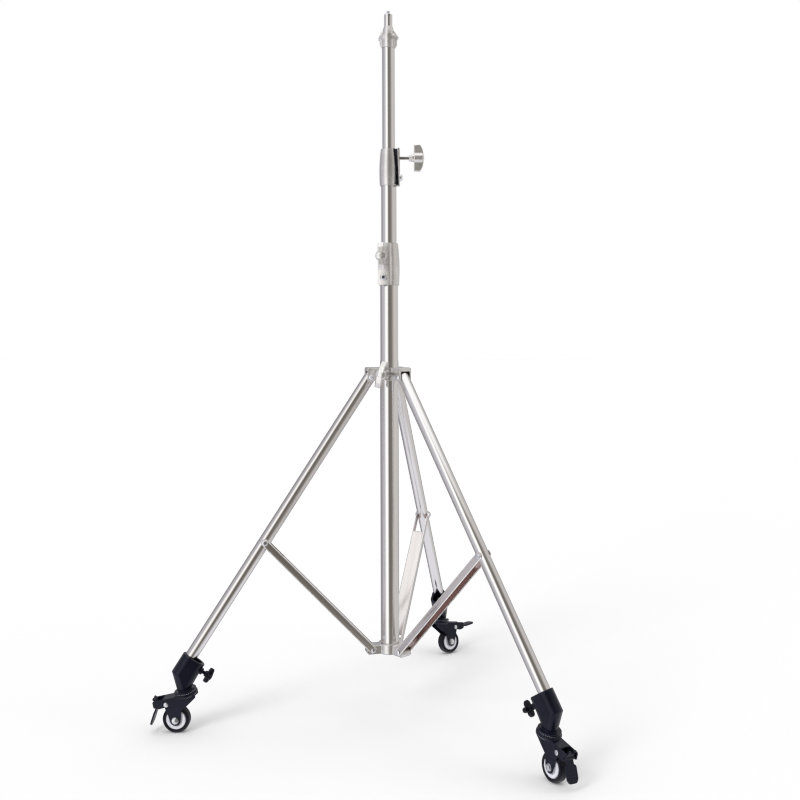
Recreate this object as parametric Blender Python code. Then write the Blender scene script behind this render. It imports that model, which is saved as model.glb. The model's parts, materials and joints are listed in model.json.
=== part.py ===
"""A wheeled light stand: two telescoping risers on a folding three-legged base with braked casters.

The column stands upright. A crown slides on the base tube and carries the three legs. A brace
runs from the hub at the column's foot to each leg, so lifting the crown folds the legs in.
Each leg ends in a caster that a thumb screw holds. Lengths are in metres and +Z is up.
"""
from math import acos, asin, atan2, cos, degrees, hypot, pi, radians, sin

import bmesh
import bpy
from mathutils import Matrix, Vector

# Tubes
BASE_TUBE_D = 0.035
MID_TUBE_D = 0.030
TOP_TUBE_D = 0.025
LEG_TUBE_D = 0.022
TUBE_WALL = 0.0012
BASE_TUBE_LENGTH = 0.7545
MID_TUBE_LENGTH = 0.7511
TOP_TUBE_LENGTH = 0.7900
LEG_LENGTH = 0.6181          # leg pivot to the mouth of the caster socket
LEG_INSERT = 0.0260          # leg tube inside the socket

# How far each riser stands out of the collar below it, as the stand is set up
MID_SHOWS = 0.1125
TOP_SHOWS = 0.1967

# Folding linkage
CROWN_PIVOT_R = 0.03905
HUB_PIVOT_R = 0.03550
CROWN_TO_HUB = 0.5262        # height of the leg pivots above the brace pivots
BRACE_BOLT_DOWN = 0.3704     # leg pivot to the brace bolt, along the leg
BRACE_LENGTH = 0.3005        # hub pivot to the brace bolt

# Clearances
GAP = 0.0003                 # between pieces that touch, slide or turn on each other
CROWN_FILLET = 0.0020

# Crown
CROWN_HEIGHT = 0.0248
CROWN_RING_WALL = 0.0047
CROWN_TOP_PLATE = 0.0070
CROWN_PIVOT_BELOW_TOP = 0.0184
LUG_WALL = 0.0030
LUG_REACH = 0.0460
CROWN_BOSS_D = 0.0160
CROWN_BOSS_OUT = 0.0040
CROWN_SCREW_BELOW_TOP = 0.0122
LEG_PIN_D = 0.0060
LEG_PIN_HEAD_D = 0.0090
LEG_PIN_HEAD_T = 0.0022

# Hub and braces
HUB_HEIGHT = 0.0178
HUB_RING_WALL = 0.0047
HUB_BELOW_PIVOT = 0.0081
HUB_ARM_REACH = 0.0125       # arm beyond the brace pivot
HUB_ARM_ABOVE_PIVOT = 0.0080
PIN_D = 0.0060
PIN_HEAD_D = 0.0095
PIN_HEAD_T = 0.0022
BRACE_SHEET = 0.0012
BRACE_FLANGE = 0.0130
BRACE_END_BEYOND_HOLE = 0.0068
BRACE_WEB_FROM_HUB = 0.0110
BRACE_WEB_CUT_BACK = 0.0480
BRACE_BOLT_HEAD_D = 0.0116
BRACE_BOLT_HEAD_T = 0.0024
BRACE_NUT_FLATS = 0.0090
BRACE_NUT_T = 0.0036
COLUMN_FOOT_BELOW_HUB = 0.0015
END_PLUG_DEPTH = 0.0120

# Clamp collars
LOWER_COLLAR_HEIGHT = 0.0811
UPPER_COLLAR_HEIGHT = 0.0712
COLLAR_FOOT_WALL = 0.0022    # over the lower tube, at the collar's foot
COLLAR_BELLY_WALL = 0.0032   # over the lower tube, where the barrel is widest
COLLAR_TOP_WALL = 0.0029     # over the riser, at the collar's top
COLLAR_FLAT_OUT = 0.0070     # flat clamp face beyond the lower tube's surface
EAR_FOOT = 0.0022            # the ear's thickness at the foot and at the top
EAR_TOP = 0.0052
COLLAR_FLAT_REACH = 0.0190   # how far the ear runs to the slotted side
COLLAR_FLAT_BACK = 0.0040    # and past the column's axis, to the other side
COLLAR_EDGE = 0.0012
SLOT_ANGLE_FOOT = 30.0       # degrees from the knob's side to the ring's open end
SLOT_ANGLE_TOP = 54.0
PAD_CLEAR_OF_AXIS = 0.0020
PAD_REACH = 0.0150
LINER_WALL = 0.0009
COLLAR_BOLT_UP = 0.0145
COLLAR_KNOB_UP = 0.0527
COLLAR_SCREW_SIDE = 0.0080   # screws sit this far off the axis, toward the slotted side
COLLAR_BOLT_D = 0.0060
COLLAR_BOLT_HEAD_D = 0.0130
COLLAR_BOLT_HEAD_T = 0.0045
HEX_KEY_FLATS = 0.0050
HEX_KEY_DEPTH = 0.0025

# Clamp knobs: a round middle with a wing to each side
KNOB_SPAN = 0.0510
KNOB_MIDDLE_D = 0.0210
KNOB_WING_WIDTH = 0.0110
KNOB_THICK = 0.0125
KNOB_DOME = 0.0070
KNOB_BOSS_D = 0.0150
KNOB_BOSS_LENGTH = 0.0095
KNOB_SCREW_D = 0.0060
COLLAR_SCREW_SHOWS = 0.0175
CROWN_KNOB_SCREW_SHOWS = 0.0050
LOWER_KNOB_TURN = 92.0       # degrees that the wings stand at, from level
UPPER_KNOB_TURN = 90.0
CROWN_KNOB_TURN = 73.0

# Slide bushes
BUSH_LENGTH = 0.0300

# Head and spigot
SPIGOT_D = 0.0158
SPIGOT_LENGTH = 0.0238
STUD_D = 0.00635
STUD_LENGTH = 0.0072
STUD_IN_SPIGOT = 0.0100
HEAD_D = 0.0262
HEAD_HEIGHT = 0.0260
HEAD_CONE = 0.0160
HEAD_PLUG_DEPTH = 0.0250
HEAD_BOLT_D = 0.0050
HEAD_BOLT_HEAD_D = 0.0095
HEAD_BOLT_HEAD_T = 0.0024
HEAD_BOLT_NUT_T = 0.0022
HEAD_BOLT_UP = 0.0200
HEAD_BOSS_D = 0.0230
HEAD_BOSS_END_D = 0.0130
HEAD_BOSS_OUT = 0.0036
HEAD_EAR_THICK = 0.0130

# Casters, measured from the swivel's race along the swivel axis
WHEEL_D = 0.0500
TYRE_WIDTH = 0.0180
TYRE_SHOULDER = 0.0040
WHEEL_RIM_D = 0.0366
WHEEL_RIM_WIDTH = 0.0164
WHEEL_RING_INNER_D = 0.0236
WHEEL_DISC_WIDTH = 0.0110
AXLE_D = 0.0060
AXLE_HEX_FLATS = 0.0100
AXLE_HEAD_T = 0.0040
TRAIL = 0.0280
AXLE_DROP = 0.0462
FORK_INSIDE = 0.0204
FORK_SHEET = 0.0016
FORK_AXLE_END_R = 0.0100
FORK_PLATE_T = 0.0018
RACE_D = 0.0430
RACE_HEIGHT = 0.0080
UPPER_RACE_D = 0.0400
UPPER_RACE_HEIGHT = 0.0044
KING_PIN_D = 0.0080
KING_PIN_IN_SOCKET = 0.0090
BRAKE_ARM_REACH = 0.0620
BRAKE_ARM_DEPTH = 0.0160
BRAKE_ROOF_END = 0.0425
BRAKE_PIVOT_REACH = 0.0560
BRAKE_PIVOT_DROP = 0.0128
BRAKE_BARREL_R = 0.0040
PEDAL_LENGTH = 0.0395
PEDAL_NECK = 0.0110
PEDAL_NECK_WIDTH = 0.0130
PEDAL_WIDTH = 0.0220
PEDAL_T = 0.0028
PEDAL_LEAN = 31.0            # degrees from the swivel axis, pressed
PEDAL_TRAVEL = 74.0          # degrees between pressed and raised
TAB_LENGTH = 0.0140
TAB_LEAN = 0.0045
TAB_T = 0.0022

# Caster sockets, measured from the leg's axis and from the mouth along the leg
SOCKET_ANGLE = 46.5          # degrees between the leg and the swivel axis
SOCKET_OUTSIDE = 0.0150
SOCKET_INSIDE = 0.0294
SOCKET_HALF_WIDTH = 0.0155
SOCKET_OUTER_RUN = 0.0395
SOCKET_INNER_RUN = 0.0210
SOCKET_BORE_DEPTH = 0.0300
SOCKET_BORE_INSIDE = 0.0240
SOCKET_NECK_D = 0.0270
SOCKET_NECK_RISE = 0.0030
SOCKET_SCREW_DOWN = 0.0135
SOCKET_BOSS_D = 0.0120
SOCKET_BOSS_OUT = 0.0040
MOUTH_HEIGHT = 0.1403        # floor to the middle of the socket's mouth
SWIVEL_BEYOND_MOUTH = 0.0100
THUMB_D = 0.0280
THUMB_WAIST_D = 0.0110
THUMB_LOBES = 4
THUMB_THICK = 0.0100
THUMB_BOSS_D = 0.0110
THUMB_BOSS_LENGTH = 0.0045
THUMB_SCREW_SHOWS = 0.0060
THUMB_SCREW_D = 0.0060

# Directions, in degrees about the column
LEGS = {"right": -30.0, "left": 210.0, "back": 90.0}
LOWER_KNOB_AZIMUTH = -79.0
UPPER_KNOB_AZIMUTH = 17.3
CROWN_KNOB_AZIMUTH = 270.0
HEAD_BOLT_AZIMUTH = 10.0

# How far each caster has swivelled from trailing outward, in degrees, and whose pedal is raised
SWIVEL_TURN = {"right": -13.0, "left": -16.0, "back": -38.0}
RAISED_PEDALS = {"back"}

# The column's place over the middle of the floor that the stand covers
COLUMN_X = 0.00687
COLUMN_Y = -0.10879

# Facets round each kind of piece
TUBE_SIDES = 24
LEG_SIDES = 20
SMALL_SIDES = 10
ROUND_SIDES = 14
WHEEL_SIDES = 20
SOCKET_SIDES = 16

# Worked out from the sizes above
base_r = BASE_TUBE_D / 2
mid_r = MID_TUBE_D / 2
top_r = TOP_TUBE_D / 2
leg_r = LEG_TUBE_D / 2
span = hypot(CROWN_PIVOT_R - HUB_PIVOT_R, CROWN_TO_HUB)
span_lean = atan2(CROWN_PIVOT_R - HUB_PIVOT_R, CROWN_TO_HUB)
crown_corner = acos((BRACE_BOLT_DOWN ** 2 + span ** 2 - BRACE_LENGTH ** 2) / (2 * BRACE_BOLT_DOWN * span))
hub_corner = acos((BRACE_LENGTH ** 2 + span ** 2 - BRACE_BOLT_DOWN ** 2) / (2 * BRACE_LENGTH * span))
leg_angle = crown_corner - span_lean
brace_angle = hub_corner + span_lean
crown_pivot_z = MOUTH_HEIGHT + LEG_LENGTH * cos(leg_angle)
hub_pivot_z = crown_pivot_z - CROWN_TO_HUB
mouth_r = CROWN_PIVOT_R + LEG_LENGTH * sin(leg_angle)
swivel_r = mouth_r + SWIVEL_BEYOND_MOUTH
swivel_tilt = radians(SOCKET_ANGLE) - leg_angle
crown_top_z = crown_pivot_z + CROWN_PIVOT_BELOW_TOP
hub_bottom_z = hub_pivot_z - HUB_BELOW_PIVOT
base_bottom_z = hub_bottom_z - COLUMN_FOOT_BELOW_HUB
base_top_z = base_bottom_z + BASE_TUBE_LENGTH
lower_collar_z = base_top_z - LOWER_COLLAR_HEIGHT / 2
upper_collar_z = lower_collar_z + LOWER_COLLAR_HEIGHT + MID_SHOWS
mid_top_z = upper_collar_z + UPPER_COLLAR_HEIGHT / 2
mid_bottom_z = mid_top_z - MID_TUBE_LENGTH
top_top_z = upper_collar_z + UPPER_COLLAR_HEIGHT + TOP_SHOWS
top_bottom_z = top_top_z - TOP_TUBE_LENGTH
lug_inside = LEG_TUBE_D + 2 * GAP
lug_outside = lug_inside + 2 * LUG_WALL
brace_inside = LEG_TUBE_D + 2 * GAP
brace_outside = brace_inside + 2 * BRACE_SHEET
wheel_r = WHEEL_D / 2
fork_outside = FORK_INSIDE + 2 * FORK_SHEET


def race_height(turn):
    """Height of a race whose wheel stands on the floor, with the caster swivelled by 'turn' degrees."""
    camber = asin(abs(sin(swivel_tilt) * sin(radians(turn))))
    below_axle = wheel_r * cos(camber) + (TYRE_WIDTH / 2 - TYRE_SHOULDER) * sin(camber)
    return AXLE_DROP * cos(swivel_tilt) + TRAIL * cos(radians(turn)) * sin(swivel_tilt) + below_axle


swivel_z = max(race_height(turn) for turn in SWIVEL_TURN.values())


def clear_scene():
    for obj in list(bpy.data.objects):
        bpy.data.objects.remove(obj, do_unlink=True)


def material(name, colour, roughness, metallic):
    """A Principled material of one colour."""
    made = bpy.data.materials.get(name)
    if made is None:
        made = bpy.data.materials.new(name)
        made.use_nodes = True
        shader = made.node_tree.nodes["Principled BSDF"]
        shader.inputs["Base Color"].default_value = (*colour, 1.0)
        shader.inputs["Roughness"].default_value = roughness
        shader.inputs["Metallic"].default_value = metallic
    return made


FINISHES = {
    "stainless": ((0.62, 0.60, 0.59), 0.22, 1.0),
    "cast": ((0.45, 0.42, 0.41), 0.38, 1.0),
    "zinc": ((0.72, 0.73, 0.76), 0.25, 1.0),
    "black_steel": ((0.022, 0.023, 0.032), 0.38, 0.0),
    "black_plastic": ((0.012, 0.012, 0.013), 0.55, 0.0),
    "tyre": ((0.014, 0.013, 0.022), 0.50, 0.0),
    "wheel": ((0.72, 0.72, 0.78), 0.40, 0.0),
}


def frame_at(name, parent=None, location=(0, 0, 0), rotation=(0, 0, 0)):
    """An empty that carries pieces; a moving piece's empty lies on its joint."""
    empty = bpy.data.objects.new(name, None)
    bpy.context.collection.objects.link(empty)
    empty.empty_display_size = 0.02
    empty.parent = parent
    empty.location = location
    empty.rotation_euler = rotation
    return empty


def solid(name, shape, finish, parent):
    """Turn a bmesh into a named object under its frame."""
    bmesh.ops.recalc_face_normals(shape, faces=shape.faces[:])
    mesh = bpy.data.meshes.new(name)
    shape.to_mesh(mesh)
    shape.free()
    mesh.shade_smooth()
    mesh.set_sharp_from_angle(angle=radians(35))
    obj = bpy.data.objects.new(name, mesh)
    bpy.context.collection.objects.link(obj)
    obj.parent = parent
    obj.data.materials.append(material(finish, *FINISHES[finish]))
    return obj


def tool(shape, parent):
    """A hidden solid that a Boolean joins on or cuts away."""
    obj = solid("tool", shape, "cast", parent)
    obj.hide_render = True
    obj.display_type = "WIRE"
    return obj


def combine(obj, shape, operation, parent=None):
    other = tool(shape, parent or obj.parent)
    step = obj.modifiers.new(operation.lower(), "BOOLEAN")
    step.operation = operation
    step.solver = "EXACT"
    step.object = other
    return obj


def add(obj, shape, parent=None):
    return combine(obj, shape, "UNION", parent)


def cut(obj, shape, parent=None):
    return combine(obj, shape, "DIFFERENCE", parent)


def turned(profile, sides, ring=False):
    """Spin (radius, height) points about Z. A ring profile closes on itself, any other on the axis."""
    shape = bmesh.new()
    start = pi / sides
    points = [shape.verts.new((r * cos(start), r * sin(start), z)) for r, z in profile]
    last = len(points) if ring else len(points) - 1
    edges = [shape.edges.new((points[i], points[(i + 1) % len(points)])) for i in range(last)]
    bmesh.ops.spin(shape, geom=points + edges, axis=(0, 0, 1), cent=(0, 0, 0), angle=2 * pi, steps=sides,
                   use_merge=True)
    bmesh.ops.remove_doubles(shape, verts=shape.verts[:], dist=1e-6)
    return shape


def rod(radius, low, high, sides=SMALL_SIDES):
    return turned([(0, low), (radius, low), (radius, high), (0, high)], sides)


def sleeve(inner, outer, low, high, sides=TUBE_SIDES):
    return turned([(inner, low), (outer, low), (outer, high), (inner, high)], sides, ring=True)


def moved(shape, matrix):
    bmesh.ops.transform(shape, matrix=matrix, verts=shape.verts[:])
    return shape


def along_x(shape):
    """Stand a shape's +Z axis along +X, with its +X along +Y and its +Y along +Z."""
    return moved(shape, Matrix(((0, 0, 1, 0), (1, 0, 0, 0), (0, 1, 0, 0), (0, 0, 0, 1))))


def along_y(shape):
    """Stand a shape's +Z axis along +Y."""
    return moved(shape, Matrix.Rotation(-pi / 2, 4, "X"))


def shifted(shape, x=0.0, y=0.0, z=0.0):
    return moved(shape, Matrix.Translation((x, y, z)))


def box(low, high):
    shape = bmesh.new()
    bmesh.ops.create_cube(shape, size=1.0)
    low, high = Vector(low), Vector(high)
    size = high - low
    centre = (low + high) / 2
    return moved(shape, Matrix.Translation(centre) @ Matrix.Diagonal((*size, 1.0)))


def plate(outline, low, high):
    """Extrude an outline of (x, z) points from y = low to y = high."""
    shape = bmesh.new()
    face = shape.faces.new([shape.verts.new((x, low, z)) for x, z in outline])
    grown = bmesh.ops.extrude_face_region(shape, geom=[face])
    top = [v for v in grown["geom"] if isinstance(v, bmesh.types.BMVert)]
    bmesh.ops.translate(shape, verts=top, vec=(0, high - low, 0))
    return shape


def arc(centre, radius, start, end, steps):
    """Points along an arc, angles in degrees."""
    turns = [radians(start + (end - start) * i / steps) for i in range(steps + 1)]
    return [(centre[0] + radius * cos(t), centre[1] + radius * sin(t)) for t in turns]


def hexagon(flats, low, high):
    return rod(flats / 2 / cos(pi / 6), low, high, 6)


def loft(rings):
    """Skin a stack of point rings and close both ends."""
    shape = bmesh.new()
    rows = [[shape.verts.new(p) for p in ring] for ring in rings]
    count = len(rows[0])
    for below, above in zip(rows, rows[1:]):
        for i in range(count):
            j = (i + 1) % count
            shape.faces.new((below[i], below[j], above[j], above[i]))
    shape.faces.new(list(reversed(rows[0])))
    shape.faces.new(rows[-1])
    return shape


def oblong(centre, along, half_length, half_width, sides=SOCKET_SIDES):
    """A round-ended ring of points; 'along' is its long direction in the XZ plane."""
    straight = half_length - half_width
    points = []
    for i in range(sides):
        turn = 2 * pi * (i + 0.5) / sides
        far = half_width * cos(turn) + (straight if cos(turn) > 0 else -straight)
        points.append(Vector(centre) + Vector(along) * far + Vector((0, half_width * sin(turn), 0)))
    return points


def lobed_ring(outer_r, waist_r, lobes, z, steps):
    """A star knob's outline: round lobes with hollows between them."""
    points = []
    for i in range(lobes * steps):
        turn = 2 * pi * i / (lobes * steps)
        swell = (1 + cos(lobes * turn)) / 2
        r = waist_r + (outer_r - waist_r) * swell ** 0.6
        points.append(Vector((r * cos(turn), r * sin(turn), z)))
    return points


def winged_ring(span, middle_d, wing_width, turn, z):
    """A wing knob's outline: a round middle and two round-ended wings."""
    tip = wing_width / 2
    root = degrees(asin(wing_width / middle_d)) + 6
    half = arc((span / 2 - tip, 0), tip, -70, 70, 4) + arc((0, 0), middle_d / 2, root, 180 - root, 4)
    outline = half + [(-x, -y) for x, y in half]
    c, n = cos(radians(turn)), sin(radians(turn))
    return [Vector((x * c - y * n, x * n + y * c, z)) for x, y in outline]


def wing_knob(turn):
    """A clamp knob's body, its back face at z = 0 and its dome at the far end."""
    flanks = ((0.96, 0.0), (1.0, 0.1), (1.0, 0.9), (0.97, 1.0))
    rings = [winged_ring(KNOB_SPAN * k, KNOB_MIDDLE_D * k, KNOB_WING_WIDTH * k, turn, KNOB_THICK * t)
             for k, t in flanks]
    front = ((0.68, 0.95, 0.95, 0.60), (0.38, 0.72, 0.70, 0.92), (0.14, 0.28, 0.30, 1.0))
    for span, middle, width, t in front:
        rings.append(winged_ring(KNOB_SPAN * span, KNOB_MIDDLE_D * middle, KNOB_WING_WIDTH * width, turn,
                                 KNOB_THICK + KNOB_DOME * t))
    return loft(rings)


def star_knob(outer_d, waist_d, thick, dome, lobes, steps):
    """A lobed thumb knob, its back face at z = 0."""
    outer, waist = outer_d / 2, waist_d / 2
    levels = [(0.92, 0.0), (1.0, 0.15), (1.0, 0.75), (0.85, 1.0)]
    rings = [lobed_ring(outer * k, waist * k, lobes, thick * t, steps) for k, t in levels]
    rings.append(lobed_ring(outer * 0.3, waist * 0.6, lobes, thick + dome, steps))
    return loft(rings)


def clamp_knob(name, parent, turn, screw_tip, screw_end):
    """A knob on its screw: the screw runs from screw_tip to screw_end along the frame's +X."""
    body_start = screw_end + KNOB_BOSS_LENGTH
    knob = solid(name, along_x(shifted(wing_knob(turn), z=body_start)), "cast", parent)
    boss = [(0, screw_end), (KNOB_BOSS_D / 2 * 0.85, screw_end), (KNOB_BOSS_D / 2, body_start),
            (KNOB_BOSS_D / 2, body_start + KNOB_THICK / 2), (0, body_start + KNOB_THICK / 2)]
    add(knob, along_x(turned(boss, ROUND_SIDES)))
    add(knob, along_x(rod(KNOB_SCREW_D / 2, screw_tip, body_start + KNOB_THICK / 3)))
    return knob


def column_tubes(base, mid, mid_slide, top, top_slide):
    """The three nested tubes, the bushes at the risers' lower ends and the plug in the foot."""
    solid("base_tube", sleeve(base_r - TUBE_WALL, base_r, base_bottom_z, base_top_z), "stainless", base)
    plug = rod(base_r - TUBE_WALL - GAP, base_bottom_z, base_bottom_z + END_PLUG_DEPTH, TUBE_SIDES)
    solid("base_end_plug", plug, "black_plastic", base)
    solid("mid_riser_tube", sleeve(mid_r - TUBE_WALL, mid_r, mid_bottom_z, mid_top_z), "stainless", mid)
    solid("top_riser_tube", sleeve(top_r - TUBE_WALL, top_r, top_bottom_z, top_top_z), "stainless", top)
    for name, inner, outer, z, parent in (
            ("mid_slide_bush", mid_r, base_r - TUBE_WALL, mid_bottom_z, mid_slide),
            ("top_slide_bush", top_r, mid_r - TUBE_WALL, top_bottom_z, top_slide)):
        bush = sleeve(inner + GAP, outer - GAP, z, z + BUSH_LENGTH)
        solid(name, bush, "black_plastic", parent)


def collar_ring(outer_r, bore_r, flat_x, t, inset, z):
    """One level of a collar, t of the way up: an open ring whose wall runs on as a flat ear toward -Y."""
    outer_r = outer_r - inset
    face_x = flat_x - inset
    inner_x = flat_x - EAR_FOOT - (EAR_TOP - EAR_FOOT) * t
    open_end = 360 - slot_angle(t)
    corner = EAR_FOOT * 0.45
    reach = -COLLAR_FLAT_REACH + inset
    start = degrees(atan2(COLLAR_FLAT_BACK, outer_r))
    points = [(inner_x, reach), (face_x - corner, reach), (face_x, reach + corner),
              (face_x, COLLAR_FLAT_BACK * 0.6)]
    points += arc((0, 0), outer_r, start + 8, open_end, TUBE_SIDES - 4)
    bore_start = degrees(asin(-PAD_CLEAR_OF_AXIS / bore_r))
    corner_r = bore_r / cos(radians((open_end - bore_start) / TUBE_SIDES / 2))
    points += arc((0, 0), corner_r, open_end, bore_start, TUBE_SIDES)
    points += [(inner_x, -PAD_CLEAR_OF_AXIS)]
    return [Vector((x, y, z)) for x, y in points]


def slot_angle(t):
    return SLOT_ANGLE_FOOT + (SLOT_ANGLE_TOP - SLOT_ANGLE_FOOT) * t


def liner_ring(inner_r, outer_r, flat_x, t, z):
    """One level of the pad between a collar's ear and the tubes, t of the way up."""
    pad_x = flat_x - EAR_FOOT - (EAR_TOP - EAR_FOOT) * t - GAP
    side = 5 - slot_angle(t)
    points = [(pad_x, -PAD_CLEAR_OF_AXIS - GAP), (pad_x, -PAD_REACH), (pad_x - LINER_WALL * 2, -PAD_REACH)]
    points += arc((0, 0), outer_r + GAP, side, side, 1)[:1]
    points += arc((0, 0), inner_r, side, -13, 3)
    return [Vector((x, y, z)) for x, y in points]


def collar(name, parent, azimuth, lower_r, upper_r, bottom, height, knob_body, knob_turn):
    """A barrel clamp: a bolt holds it to the lower tube, and a knob and a pad grip the riser.

    Its flat ear looks along +X of the frame, and its slot opens toward -Y.
    """
    turn = frame_at(name + "_frame", parent, (0, 0, bottom), (0, 0, radians(azimuth)))
    half = height / 2
    edge = COLLAR_EDGE
    lower_bore = lower_r + GAP
    upper_bore = upper_r + 2 * GAP + LINER_WALL
    flat_x = lower_r + COLLAR_FLAT_OUT
    foot_r = lower_r + COLLAR_FOOT_WALL
    belly_r = lower_r + COLLAR_BELLY_WALL
    top_r_out = upper_r + COLLAR_TOP_WALL
    shoulder_r = (2 * belly_r + top_r_out) / 3
    levels = [(0, foot_r, lower_bore, edge), (edge, foot_r, lower_bore, 0),
              (height * 0.2, belly_r, lower_bore, 0),
              (half, belly_r, lower_bore, 0), (half + edge, belly_r, upper_bore, 0),
              (height * 0.78, shoulder_r, upper_bore, 0), (height - edge, top_r_out, upper_bore, 0),
              (height, top_r_out, upper_bore, edge / 2)]
    rings = [collar_ring(outer, bore, flat_x, z / height, inset, z) for z, outer, bore, inset in levels]
    body = solid(name, loft(rings), "cast", turn)
    screw_hole = KNOB_SCREW_D / 2 + GAP
    for up in (COLLAR_BOLT_UP, COLLAR_KNOB_UP):
        hole = along_x(rod(screw_hole, flat_x - EAR_TOP * 1.6, flat_x + EAR_TOP))
        cut(body, shifted(hole, y=-COLLAR_SCREW_SIDE, z=up))
    pad_levels = [(edge, lower_r + 2 * GAP), (half, lower_r + 2 * GAP),
                  (half + 2 * edge, upper_r + GAP + LINER_WALL / 2),
                  (height - edge, upper_r + GAP + LINER_WALL / 2)]
    pad_rings = [liner_ring(inner, belly_r, flat_x, z / height, z) for z, inner in pad_levels]
    pad = solid(name + "_liner", loft(pad_rings), "black_plastic", turn)
    add(pad, sleeve(upper_r + GAP, upper_r + GAP + LINER_WALL, half + 2 * edge, height - GAP))
    head_x = flat_x + GAP
    tip_x = flat_x - EAR_FOOT - (EAR_TOP - EAR_FOOT) * COLLAR_BOLT_UP / height
    bolt = rod(COLLAR_BOLT_D / 2, tip_x, head_x + COLLAR_BOLT_HEAD_T / 2)
    bolt_obj = solid(name + "_bolt", shifted(along_x(bolt), y=-COLLAR_SCREW_SIDE, z=COLLAR_BOLT_UP),
                     "zinc", turn)
    head = rod(COLLAR_BOLT_HEAD_D / 2, head_x, head_x + COLLAR_BOLT_HEAD_T, ROUND_SIDES)
    add(bolt_obj, shifted(along_x(head), y=-COLLAR_SCREW_SIDE, z=COLLAR_BOLT_UP))
    key_end = head_x + COLLAR_BOLT_HEAD_T
    key = hexagon(HEX_KEY_FLATS, key_end - HEX_KEY_DEPTH, key_end + HEX_KEY_DEPTH)
    cut(bolt_obj, shifted(along_x(key), y=-COLLAR_SCREW_SIDE, z=COLLAR_BOLT_UP))
    axis = frame_at(knob_body + "_axis", turn, (0, -COLLAR_SCREW_SIDE, COLLAR_KNOB_UP))
    tip_x = flat_x - EAR_FOOT - (EAR_TOP - EAR_FOOT) * COLLAR_KNOB_UP / height
    clamp_knob(knob_body, axis, knob_turn, tip_x, flat_x + COLLAR_SCREW_SHOWS)


def head(parent):
    """The cast head on the top riser, with its spigot and threaded stud."""
    head_top = top_top_z + HEAD_HEIGHT + HEAD_CONE
    profile = [(0, top_top_z - HEAD_PLUG_DEPTH),
               (top_r - TUBE_WALL - GAP, top_top_z - HEAD_PLUG_DEPTH),
               (top_r - TUBE_WALL - GAP, top_top_z + GAP),
               (HEAD_D / 2, top_top_z + GAP),
               (HEAD_D / 2, top_top_z + HEAD_HEIGHT),
               (HEAD_D / 2 * 0.9, top_top_z + HEAD_HEIGHT + HEAD_CONE * 0.35),
               (SPIGOT_D / 2, head_top),
               (SPIGOT_D / 2, head_top + SPIGOT_LENGTH - GAP * 3),
               (SPIGOT_D / 2 - GAP * 3, head_top + SPIGOT_LENGTH),
               (0, head_top + SPIGOT_LENGTH)]
    cap = solid("spigot_head", turned(profile, TUBE_SIDES), "cast", parent)
    cross = frame_at("head_bolt_frame", parent, (0, 0, top_top_z + HEAD_BOLT_UP),
                     (0, 0, radians(HEAD_BOLT_AZIMUTH)))
    reach = HEAD_D / 2 + HEAD_BOSS_OUT
    boss = [(0, -reach), (HEAD_BOSS_END_D / 2, -reach), (HEAD_BOSS_D / 2, -HEAD_D * 0.3),
            (HEAD_BOSS_D / 2, HEAD_D * 0.3), (HEAD_BOSS_END_D / 2, reach), (0, reach)]
    add(cap, along_x(turned(boss, ROUND_SIDES)), cross)
    foot, shoulder = 3 * GAP - HEAD_BOLT_UP, HEAD_HEIGHT - HEAD_BOLT_UP
    wide = reach - GAP
    half = [(HEAD_D / 2 - GAP, foot), (wide, foot + HEAD_HEIGHT * 0.25), (wide, shoulder - HEAD_HEIGHT * 0.05),
            (wide * 0.87, shoulder + HEAD_CONE * 0.2), (wide * 0.56, shoulder + HEAD_CONE * 0.55)]
    ears = half + [(-x, z) for x, z in reversed(half)]
    add(cap, plate(ears, -HEAD_EAR_THICK / 2, HEAD_EAR_THICK / 2), cross)
    cut(cap, along_x(rod(HEAD_BOLT_D / 2 + GAP, -2 * reach, 2 * reach)), cross)
    spigot_top = head_top + SPIGOT_LENGTH
    cut(cap, rod(STUD_D / 2 + GAP, spigot_top - STUD_IN_SPIGOT, spigot_top + STUD_LENGTH))
    stud = [(0, spigot_top - STUD_IN_SPIGOT + GAP), (STUD_D / 2, spigot_top - STUD_IN_SPIGOT + GAP),
            (STUD_D / 2, spigot_top + STUD_LENGTH - GAP * 2),
            (STUD_D / 2 - GAP * 2, spigot_top + STUD_LENGTH), (0, spigot_top + STUD_LENGTH)]
    solid("spigot_stud", turned(stud, ROUND_SIDES), "zinc", parent)
    bolt = solid("head_bolt", along_x(rod(HEAD_BOLT_D / 2, -reach - GAP, reach + GAP + HEAD_BOLT_HEAD_T / 2)),
                 "zinc", cross)
    add(bolt, along_x(rod(HEAD_BOLT_HEAD_D / 2, reach + GAP, reach + GAP + HEAD_BOLT_HEAD_T, ROUND_SIDES)))
    add(bolt, along_x(hexagon(HEAD_BOLT_HEAD_D * 0.85, -reach - GAP - HEAD_BOLT_NUT_T, -reach - GAP)))
    key_end = reach + GAP + HEAD_BOLT_HEAD_T
    cut(bolt, along_x(hexagon(HEX_KEY_FLATS * 0.8, key_end - HEX_KEY_DEPTH, key_end + HEX_KEY_DEPTH)))


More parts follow.
